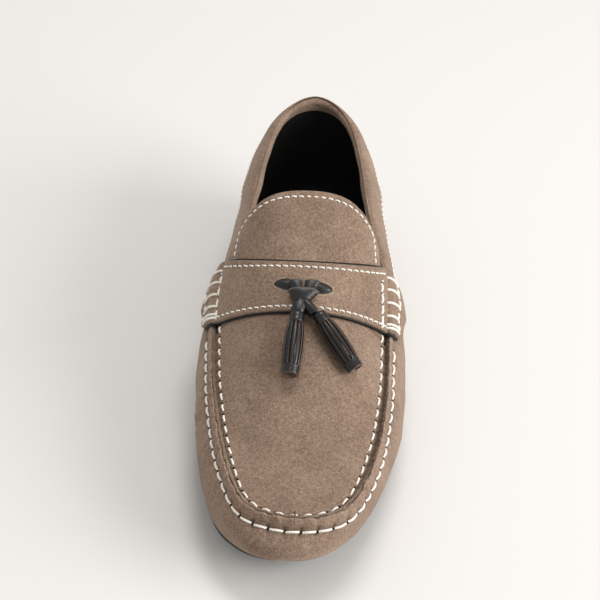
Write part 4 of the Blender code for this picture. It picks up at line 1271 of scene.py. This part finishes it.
def join_parts(parts):
    """Points, faces and raw edges of several shells as one."""
    points, faces, raw = [], [], []
    for part_points, part_faces, part_raw in parts:
        faces += [tuple(len(points) + k for k in face) for face in part_faces]
        points += list(part_points)
        raw += list(part_raw)
    return points, faces, raw


def thread_tube(line, radius, sides=8):
    """A round thread along a line, closed at both ends, with nothing raw."""
    line = np.asarray(line)
    run = np.gradient(line, axis=0)
    run /= np.linalg.norm(run, axis=1, keepdims=True)
    cross = np.cross(run, (0.3, 0.1, 1.0) if abs(run[:, 1]).mean() > 0.8 else (0.0, 1.0, 0.1))
    cross /= np.linalg.norm(cross, axis=1, keepdims=True)
    other = np.cross(run, cross)
    around = np.linspace(0, 2 * math.pi, sides, endpoint=False)
    rings = [[p + radius * (math.cos(t) * a + math.sin(t) * b) for t in around]
             for p, a, b in zip(line, cross, other)]
    return *shell(rings), [0.0] * (len(line) * sides)


def make_whipping():
    """The bars over both ridges, doubled at the front, and the rows that they start and end in."""
    rows, tubes = [], []
    for side in (MEDIAL, LATERAL):
        for line, outs in whipped(side):
            rows.append(along_line(line - WHIP_SINK * outs, outs, WHIP_PITCH))
        crest = strap_at(side, 1.5, np.linspace(WHIP_FIRST, WHIP_LAST, 30), 0.0)
        length = np.linalg.norm(np.diff(crest, axis=0), axis=1).sum()
        backs = list(np.linspace(WHIP_FIRST, WHIP_LAST, int(length / WHIP_PITCH + 0.5) + 1))
        tubes += [thread_tube(bar_line(side, back), WHIP_THREAD / 2) for back in backs + [WHIP_DOUBLED]]
    points, faces, _ = join_parts(tubes)
    bars = add_piece("whip_bars", plain_mesh("whip_bars", points, faces), THREAD)
    running = sew("whip_stitches", rows, WHIP_PITCH * 0.62, WHIP_THREAD, 0.00045, 0.00050, uneven=0.08,
                  hole=0.00060, seed=9)
    return bars, running


whip_bars, whip_running = make_whipping()
give(whip_bars, "strap")
give(whip_running, "strap")

# Lace knot: a flat black lace comes up through two slits in the strap, is folded into two upright loops and
# gathered in a funnel, and its ends run on as a wrapped neck to the two tassels.
LACE_BLACK = "#100F0F"
LACE_EDGE = "#8C8984"
WING_ROOT = 0.0040
WING_TIP = {MEDIAL: 0.0138, LATERAL: 0.0131}
WING_FROM_TOE = {MEDIAL: (0.1187, 0.1203), LATERAL: (0.1182, 0.1191)}
WING_HALF = 0.0028
WING_LIFT = 0.0016
WING_THICKNESS = 0.0011
SLIT_MARGIN = 0.00045
STRAP_EDGE_AT = 0.1105
LACE_WALL = 0.0006
NECK_WALL = 0.0012
LOOP_DEPTH = 0.0035
FUNNEL_DEPTH = 0.0022
NECK_DEPTH = 0.0004


def over(piece):
    """Finds the top of a finished piece under a place of the plan, and the way up from it."""
    tree = BVHTree.FromObject(piece, bpy.context.evaluated_depsgraph_get())

    def on_top(x, from_toe, lift=0.0):
        hit, up, _, _ = tree.ray_cast(Vector((x, from_toe - LENGTH / 2, 0.2)), Vector((0, 0, -1)))
        return np.array(hit) + lift * np.array(up)
    return on_top


def rubbed_leather(name, colour, edge_colour, roughness, grain_mm, bump_strength):
    """Black leather that greys where the light rakes its grain; cut edges show a paler core."""
    material = smooth_black_leather(name, colour, roughness, grain_mm)
    tree = material.node_tree
    surface = next(node for node in tree.nodes if node.type == "BSDF_PRINCIPLED")
    bump = next(node for node in tree.nodes if node.type == "BUMP")
    bump.inputs["Strength"].default_value = bump_strength
    surface.inputs["Coat Weight"].default_value = 0.15
    surface.inputs["Coat Roughness"].default_value = 0.28
    tone = surface.inputs["Base Color"].links[0].from_node
    raw = add_node(tree, "ShaderNodeAttribute", {"attribute_name": "raw"})
    fray = add_node(tree, "ShaderNodeTexNoise", {"Scale": 900.0, "Detail": 3.0})
    patchy = calculate(tree, "MULTIPLY_ADD", (fray, "Fac"), 0.9, 0.50)
    share = add_node(tree, "ShaderNodeMath", {"operation": "MULTIPLY", "use_clamp": True},
                     {0: (raw, "Fac"), 1: (patchy, "Value")})
    mix = add_node(tree, "ShaderNodeMix", {"data_type": "RGBA", 7: linear(edge_colour)},
                   {"Factor": (share, "Value"), 6: (tone, "Color")})
    tree.links.new(mix.outputs[2], surface.inputs["Base Color"])
    return material


lace_leather = rubbed_leather("lace leather, greyed on its folds", LACE_BLACK, LACE_EDGE, 0.38, 0.9, 0.6)
on_strap = over(strap_suede)


def leaf(side):
    """One lens-shaped wing of the lace, root to tip, lying in its slit."""
    x_sign = -side
    rows = []
    for share in np.linspace(0, 1, 22):
        x = x_sign * (WING_ROOT + (WING_TIP[side] - WING_ROOT) * share)
        middle = WING_FROM_TOE[side][0] + (WING_FROM_TOE[side][1] - WING_FROM_TOE[side][0]) * share
        half = WING_HALF * (0.86 + 0.14 * math.sin(math.pi * min(share * 1.25, 1))) * (1 - share ** 4) ** 0.6
        row = []
        for v in np.linspace(-1, 1, 13):
            lift = WING_LIFT * (1 - 0.75 * v * v) * (1 - share ** 5) + 0.0003 * math.sin(3 * share + 2.2 * v)
            row.append(on_strap(x, middle + v * half, max(lift, 0.0001)))
        rows.append(row)
    return np.array(rows)


def leaf_sheet(side):
    grid = leaf(side)
    down = grid - np.array([0, 0, WING_THICKNESS])
    down[..., 2] = np.minimum(down[..., 2], grid[..., 2] - 0.0004)
    around = [np.concatenate([top, low[::-1]]) for top, low in zip(grid, down)]
    points, faces = shell(around)
    share = np.abs(np.linspace(-1, 1, 13))
    raw = np.tile(np.concatenate([np.where(share > 0.9, 0.5, 0.0), np.zeros(13)]), len(grid))
    return points, faces, raw


def slit_lip(side):
    """The raw hide that shows round a wing where the strap is cut."""
    grid = leaf(side)
    upper, lower = grid[:, -1], grid[:, 0]
    outline = np.concatenate([upper, lower[::-1]])
    middle = outline.mean(axis=0)
    away = outline - middle
    away /= np.linalg.norm(away, axis=1, keepdims=True)
    margin = SLIT_MARGIN * (1 + 0.35 * np.sin(9 * np.linspace(0, 6.28, len(outline))))[:, None]
    rings = []
    for grow, lift in ((0.0, 0.00005), (0.4, 0.00028), (1.0, 0.00005), (1.0, -0.0006), (0.0, -0.0006)):
        spots = outline + away * grow * margin
        rings.append(np.array([on_strap(p[0], p[1] + LENGTH / 2, lift) for p in spots]))
    count, sides = len(outline), len(rings)
    points = [tuple(ring[i]) for i in range(count) for ring in rings]
    faces = [(i * sides + j, i * sides + (j + 1) % sides, ((i + 1) % count) * sides + (j + 1) % sides,
              ((i + 1) % count) * sides + j) for i in range(count) for j in range(sides)]
    return points, faces, [1.0] * len(points)


def hollow(stations, wall, end_depth, seed, roughness=0.03, raw_end=1.0, sides=28):
    """A flattened tube through (x, from_toe, lift, half width, half height) stations, open at its end."""
    wobble = np.random.default_rng(seed).uniform(-1, 1, (len(stations) + 8, sides))
    around = np.linspace(0, 2 * math.pi, sides, endpoint=False)

    def ring(place, shrink, rough):
        x, from_toe, lift, half_x, half_z = place
        base = on_strap(x, max(from_toe, STRAP_EDGE_AT), 0.0)
        slope = on_strap(x, STRAP_EDGE_AT + 0.003, 0.0) - on_strap(x, STRAP_EDGE_AT, 0.0)
        base = base + slope / slope[1] * min(from_toe - STRAP_EDGE_AT, 0)
        r = 1 + roughness * rough
        wide, high = (half_x - shrink) * r * np.cos(around), lift + (half_z - shrink) * r * np.sin(around)
        return base + np.stack([wide, 0 * around, high], -1)

    smooth = (wobble + np.roll(wobble, 1, 1) + np.roll(wobble, -1, 1)) / 2
    outer = [ring(place, 0.0, smooth[i]) for i, place in enumerate(stations)]
    last, before = np.array(stations[-1]), np.array(stations[-2])
    depth = last + (before - last) * end_depth / abs(last[1] - before[1])
    inner = [ring(last, wall * 0.5, smooth[len(stations) - 1]), ring(last, wall, smooth[len(stations) - 1]),
             ring(depth, wall, smooth[len(stations)])]
    inner[0] = inner[0] + (outer[-1] - outer[-2]) * 0.06
    points, faces = shell(outer + inner)
    raw = np.zeros((len(outer) + len(inner), sides))
    raw[len(outer) - 1] = 0.55 * raw_end
    raw[len(outer)] = raw_end
    raw[len(outer) + 1] = 0.55 * raw_end
    return points, faces, raw.reshape(-1)


# Stations of the lace's parts, each (x, from the toe, lift off the strap, half width, half height)
LOOPS = (
    ((-0.0018, 0.1124, 0.0026, 0.0014, 0.0011), (-0.0025, 0.1140, 0.0027, 0.0018, 0.0013),
     (-0.0031, 0.1155, 0.0028, 0.0024, 0.0014), (-0.0036, 0.1168, 0.0029, 0.0029, 0.0014),
     (-0.0039, 0.1180, 0.0030, 0.0031, 0.0013), (-0.0040, 0.1186, 0.0030, 0.0031, 0.0012)),
    ((0.0012, 0.1124, 0.0026, 0.0014, 0.0011), (0.0020, 0.1140, 0.0027, 0.0019, 0.0013),
     (0.0026, 0.1155, 0.0028, 0.0025, 0.0014), (0.0032, 0.1168, 0.0029, 0.0030, 0.0014),
     (0.0036, 0.1181, 0.0030, 0.0033, 0.0013), (0.0037, 0.1188, 0.0030, 0.0033, 0.0012)),
)
FUNNEL = ((-0.0006, 0.1092, 0.0024, 0.0034, 0.0022), (-0.0007, 0.1098, 0.0025, 0.0033, 0.0023),
          (-0.0006, 0.1110, 0.0026, 0.0044, 0.0025), (-0.0004, 0.1122, 0.0027, 0.0056, 0.0027),
          (-0.0003, 0.1133, 0.0027, 0.0066, 0.0027), (-0.0003, 0.1141, 0.0027, 0.0072, 0.0027))
NECKS = (
    ((-0.0012, 0.1106, 0.0024, 0.0024, 0.0018), (-0.0012, 0.1097, 0.0026, 0.0028, 0.0023),
     (-0.0013, 0.1082, 0.0028, 0.0034, 0.0026), (-0.0016, 0.1064, 0.0031, 0.0035, 0.0027),
     (-0.0020, 0.1046, 0.0033, 0.0029, 0.0026), (-0.0022, 0.1030, 0.0034, 0.0026, 0.0022)),
    ((0.0004, 0.1106, 0.0024, 0.0022, 0.0016), (0.0010, 0.1097, 0.0026, 0.0026, 0.0022),
     (0.0018, 0.1082, 0.0028, 0.0032, 0.0026), (0.0030, 0.1064, 0.0031, 0.0034, 0.0027),
     (0.0043, 0.1048, 0.0033, 0.0028, 0.0026), (0.0052, 0.1036, 0.0034, 0.0025, 0.0021)),
)


def make_knot():
    parts = [leaf_sheet(side) for side in (MEDIAL, LATERAL)]
    parts += [hollow(stations, LACE_WALL, LOOP_DEPTH, 30 + i, raw_end=0.8)
              for i, stations in enumerate(LOOPS)]
    parts.append(hollow(FUNNEL, LACE_WALL, FUNNEL_DEPTH, 33))
    parts += [hollow(stations, NECK_WALL, NECK_DEPTH, 35 + i, roughness=0.10, raw_end=0.0)
              for i, stations in enumerate(NECKS)]
    points, faces, raw = join_parts(parts)
    knot = add_piece("lace_knot_loops", plain_mesh("lace_knot_loops", points, faces, raw=raw), lace_leather)
    points, faces, raw = join_parts([slit_lip(side) for side in (MEDIAL, LATERAL)])
    lips = add_piece("slit_lips", plain_mesh("slit_lips", points, faces, raw=raw), suede)
    return knot, lips


knot, lips = make_knot()
give(knot, "lace_knot", "lace_knot")
give(lips, "strap")

# Tassels: each is one strip of black calf rolled round the lace, slit into straps between a plain top band
# and a closed ring at the bottom. The straps belly out, and their cut edges show the brown core.
TASSEL_BLACK = "#131211"
TASSEL_CUT = "#6E5140"
TASSEL_LENGTH = 0.0310
TASSEL_RADIUS = 0.0048
TASSEL_STRIPS = 12
TASSEL_FROM_TOE = 0.1063
TASSEL_REST = 1.1 * (TASSEL_RADIUS + CLEARANCE)
TASSEL_PLACES = (("medial", 0.0021, -4.0), ("lateral", -0.0050, 42.0))
STRIP_SHARE = 0.62
STRIP_THICKNESS = 0.0009
STRIP_STRAY = 0.045
STRIP_SWELL = 0.05
BAND_END = 0.165
HOLES_AT = 0.085
TASSEL_HOLES = (-0.0014, 0.0012)
TASSEL_HOLE_RADIUS = 0.00050
RING_START = 0.865

# Shares of the length and of the radius down a tassel; then its core and the lip of its ring, each row with
# how raw it is
TASSEL_PROFILE = np.array(((0.0, 0.40), (0.02, 0.62), (0.06, 0.69), (0.14, 0.71), (0.17, 0.75), (0.22, 0.83),
                           (0.38, 0.97), (0.55, 1.0), (0.72, 0.97), (0.83, 0.90), (0.87, 0.86), (0.90, 0.83),
                           (1.0, 0.80)))
CORE_ROWS = ((0.10, 0.0016, 0.0), (0.12, 0.0020, 0.0), (0.50, 0.0022, 0.0), (0.90, 0.0018, 0.0))
TASSEL_LIP = ((0.998, 0.79, 0.5), (1.0, 0.74, 1.0), (1.0, 0.60, 1.0), (0.995, 0.56, 0.4), (0.935, 0.54, 0.0))
tassel_leather = rubbed_leather("tassel calf, brown at its cut edges", TASSEL_BLACK, TASSEL_CUT, 0.30, 0.55,
                                0.25)


def tassel_radius(share):
    return TASSEL_RADIUS * float(steady(TASSEL_PROFILE[:, 0], TASSEL_PROFILE[:, 1], share))


def on_crown(x, from_toe):
    """A point on the crown of the vamp: x is measured to the wearer's inner side."""
    side = MEDIAL if x >= 0 else LATERAL
    across = np.linspace(2.0, 3.0, 41)
    skin = section(side, station(side, from_toe, across), across)
    height = np.interp(abs(x), np.abs(skin[::-1, 0]), skin[::-1, 2])
    return Vector((-x, from_toe - LENGTH / 2, float(height)))


def tassel_place(x, angle):
    """Where a tassel lies: its top on the vamp in front of the strap, its own -Z running down it."""
    start, heading, run = on_crown(x, TASSEL_FROM_TOE), math.radians(angle), 0.85 * TASSEL_LENGTH
    end = on_crown(x - run * math.sin(heading), TASSEL_FROM_TOE - run * math.cos(heading))
    axis = (end - start).normalized()
    up = (Vector((0, 0, 1)) - axis * axis.z).normalized()
    rotation = (-axis).to_track_quat("Z", "Y").to_matrix().to_4x4()
    return Matrix.Translation(start + up * TASSEL_REST) @ rotation


def tassel_strip():
    """One strap of a tassel: a bellied slab with its two cut sides bare."""
    half_angle = math.pi / TASSEL_STRIPS * STRIP_SHARE
    rings, raws = [], []
    for share in np.linspace(BAND_END - 0.012, RING_START + 0.012, 26):
        near_end = min(share - BAND_END, RING_START - share) / 0.03
        outer = tassel_radius(share) - 0.00025 * np.clip(1 - near_end, 0, 1)
        inner = outer - STRIP_THICKNESS
        angles = half_angle * np.array([-1, -0.8, -0.3, 0.3, 0.8, 1])
        top = [(outer - 0.00012 * (abs(a) / half_angle) ** 3) for a in angles]
        ring = [(r * math.sin(a), -r * math.cos(a), -TASSEL_LENGTH * share) for a, r in zip(angles, top)]
        ring += [(inner * math.sin(a), -inner * math.cos(a), -TASSEL_LENGTH * share) for a in angles[::-1]]
        rings.append(ring)
        raws += [0.9, 0.0, 0.0, 0.0, 0.0, 0.25, 0.15, 0.0, 0.0, 0.0, 0.0, 0.25]
    points, faces = shell(rings)
    return plain_mesh("strip", points, faces, raw=raws)


def strip_tree(leather):
    """Stands a strip round a ring, as many times as asked, each turned and swollen a little by chance."""
    tree = bpy.data.node_groups.new("Straps round a tassel", "GeometryNodeTree")
    tree.interface.new_socket("Strip", in_out="INPUT", socket_type="NodeSocketGeometry")
    for name in ("Count", "Seed"):
        tree.interface.new_socket(name, in_out="INPUT", socket_type="NodeSocketInt")
    for name in ("Stray", "Swell"):
        tree.interface.new_socket(name, in_out="INPUT", socket_type="NodeSocketFloat")
    tree.interface.new_socket("Straps", in_out="OUTPUT", socket_type="NodeSocketGeometry")
    given = add_node(tree, "NodeGroupInput")
    ring = add_node(tree, "GeometryNodePoints", links={"Count": (given, "Count")})
    index = add_node(tree, "GeometryNodeInputIndex")
    share = calculate(tree, "DIVIDE", (index, "Index"), (given, "Count"))
    minus = calculate(tree, "MULTIPLY", (given, "Stray"), -1.0)
    stray = add_node(tree, "FunctionNodeRandomValue", {"data_type": "FLOAT"},
                     {2: (minus, "Value"), 3: (given, "Stray"), "Seed": (given, "Seed")})
    angle = calculate(tree, "MULTIPLY_ADD", (share, "Value"), 2 * math.pi, (stray, 1))
    heading = add_node(tree, "ShaderNodeCombineXYZ", links={"Z": (angle, "Value")})
    least = calculate(tree, "SUBTRACT", 1.0, (given, "Swell"))
    swell = add_node(tree, "FunctionNodeRandomValue", {"data_type": "FLOAT", 3: 1.0},
                     {2: (least, "Value"), "Seed": (given, "Seed")})
    size = add_node(tree, "ShaderNodeCombineXYZ", {"Z": 1.0}, {"X": (swell, 1), "Y": (swell, 1)})
    laid = add_node(tree, "GeometryNodeInstanceOnPoints", links={
        "Points": (ring, "Geometry"), "Instance": (given, "Strip"), "Rotation": (heading, "Vector"),
        "Scale": (size, "Vector")})
    real = add_node(tree, "GeometryNodeRealizeInstances", links={"Geometry": (laid, "Instances")})
    dyed = add_node(tree, "GeometryNodeSetMaterial", {"Material": leather}, {"Geometry": (real, "Geometry")})
    add_node(tree, "NodeGroupOutput", links={"Straps": (dyed, "Geometry")})
    return tree


STRAPS = strip_tree(tassel_leather)


def turned_part(stations, seed, rough, sides=48):
    """A lathe shape from (share of length, radius, raw) rows, its skin a little uneven."""
    around = np.linspace(0, 2 * math.pi, sides, endpoint=False)
    bumps = np.random.default_rng(seed).uniform(-1, 1, (len(stations), sides))
    bumps = (bumps + np.roll(bumps, 1, 1) + np.roll(bumps, 2, 1) + np.roll(bumps, -1, 1)) / 4
    rings, raw = [], []
    for row, (share, radius, bare) in zip(bumps, stations):
        r = radius * (1 + rough * row)
        down = np.full(sides, -TASSEL_LENGTH * share)
        rings.append(np.stack([r * np.sin(around), -r * np.cos(around), down], -1))
        raw += [bare] * sides
    points, faces = shell(rings)
    return points, faces, raw


def make_tassel(name, x, angle, seed):
    """The top band, the dark core and the ring in one piece, and the straps in another."""
    band = [(s, tassel_radius(s), 0.0) for s in (0.0, 0.012, 0.03, 0.055, 0.08, 0.105, 0.13, 0.155)]
    band += [(BAND_END + 0.006, tassel_radius(BAND_END) * 0.96, 0.35), (BAND_END + 0.006, 0.0019, 0.2)]
    ring = [(RING_START - 0.006, 0.0017, 0.2), (RING_START - 0.006, tassel_radius(RING_START) * 0.95, 0.3)]
    ring += [(s, tassel_radius(s), 0.0) for s in (0.872, 0.885, 0.91, 0.94, 0.97, 0.985)]
    ring += [(share, radius * TASSEL_RADIUS, bare) for share, radius, bare in TASSEL_LIP]
    points, faces, raw = join_parts([turned_part(band, seed, 0.05), turned_part(CORE_ROWS, seed + 1, 0.02),
                                     turned_part(ring, seed + 2, 0.03)])
    place = tassel_place(x, angle)
    body = plain_mesh("tassel_" + name + "_body", points, faces, raw=raw)
    body.transform(place)
    body = add_piece("tassel_" + name + "_body", body, tassel_leather)
    straps = made_real("tassel_" + name + "_straps", tassel_strip(), STRAPS, Count=TASSEL_STRIPS, Seed=seed,
                       Stray=STRIP_STRAY, Swell=STRIP_SWELL)
    straps.data.transform(place)
    # Painted shade in the band's lace holes: short dark tubes sunk into it
    front = -tassel_radius(HOLES_AT) - 0.0001
    spots = [Vector((x, front + 0.12 * abs(x), -HOLES_AT * TASSEL_LENGTH)) for x in TASSEL_HOLES]
    points, faces, _ = join_parts(thread_tube([spot + Vector((0, 0.0003 * k, 0)) for k in (3, 2, 1, 0)],
                                              TASSEL_HOLE_RADIUS) for spot in spots)
    tassel_hole_shade = plain_mesh("tassel_" + name + "_hole_shade", points, faces)
    tassel_hole_shade.transform(place)
    give(add_piece("tassel_" + name + "_hole_shade", tassel_hole_shade, HOLE_SHADE), "tassels")
    give(body, "tassels", "tassel_" + name)
    give(straps, "tassels", "tassel_" + name)


for seed, (name, x, angle) in enumerate(TASSEL_PLACES):
    make_tassel(name, x, angle, 50 + 7 * seed)

# Floor and light: a pale, matt studio floor that runs far back, under an even pale light from all round.
# One large soft box stands at the shoe's outer side and a small one hangs overhead.
FLOOR_PALE = "#E1DFDC"
LIGHT_PALE = "#F2F0ED"
LIGHT_STRENGTH = 0.64


def painted_floor():
    """Matt pale grey paint."""
    material = new_material("pale floor")
    surface = add_node(material.node_tree, "ShaderNodeBsdfPrincipled",
                       {"Base Color": linear(FLOOR_PALE), "Roughness": 0.9})
    return finish_material(material, surface)


floor_mesh = bpy.data.meshes.new("floor")
floor_mesh.from_pydata([(-6, -4, 0), (6, -4, 0), (6, 8, 0), (-6, 8, 0)], [], [(0, 1, 2, 3)])
floor = add_piece("floor", floor_mesh, painted_floor())


def soft_box(name, place, aim, width, height, watts):
    """An even rectangular light, turned to its aim."""
    light = bpy.data.lights.new(name, "AREA")
    light.shape = "RECTANGLE"
    light.size, light.size_y, light.energy = width, height, watts
    item = bpy.data.objects.new(name, light)
    item.location = place
    item.rotation_euler = (Vector(aim) - Vector(place)).to_track_quat("-Z", "Y").to_euler()
    bpy.context.scene.collection.objects.link(item)


soft_box("Key", (1.9, -0.75, 0.95), (0, 0, 0.04), 1.6, 1.3, 47)
soft_box("Top", (0.10, 0.24, 1.25), (0, 0, 0), 0.5, 0.4, 6)
world = bpy.data.worlds.new("Studio")
world.use_nodes = True
world.node_tree.nodes["Background"].inputs["Color"].default_value = linear(LIGHT_PALE)
world.node_tree.nodes["Background"].inputs["Strength"].default_value = LIGHT_STRENGTH
bpy.context.scene.world = world
bpy.context.scene.view_settings.view_transform = "Standard"
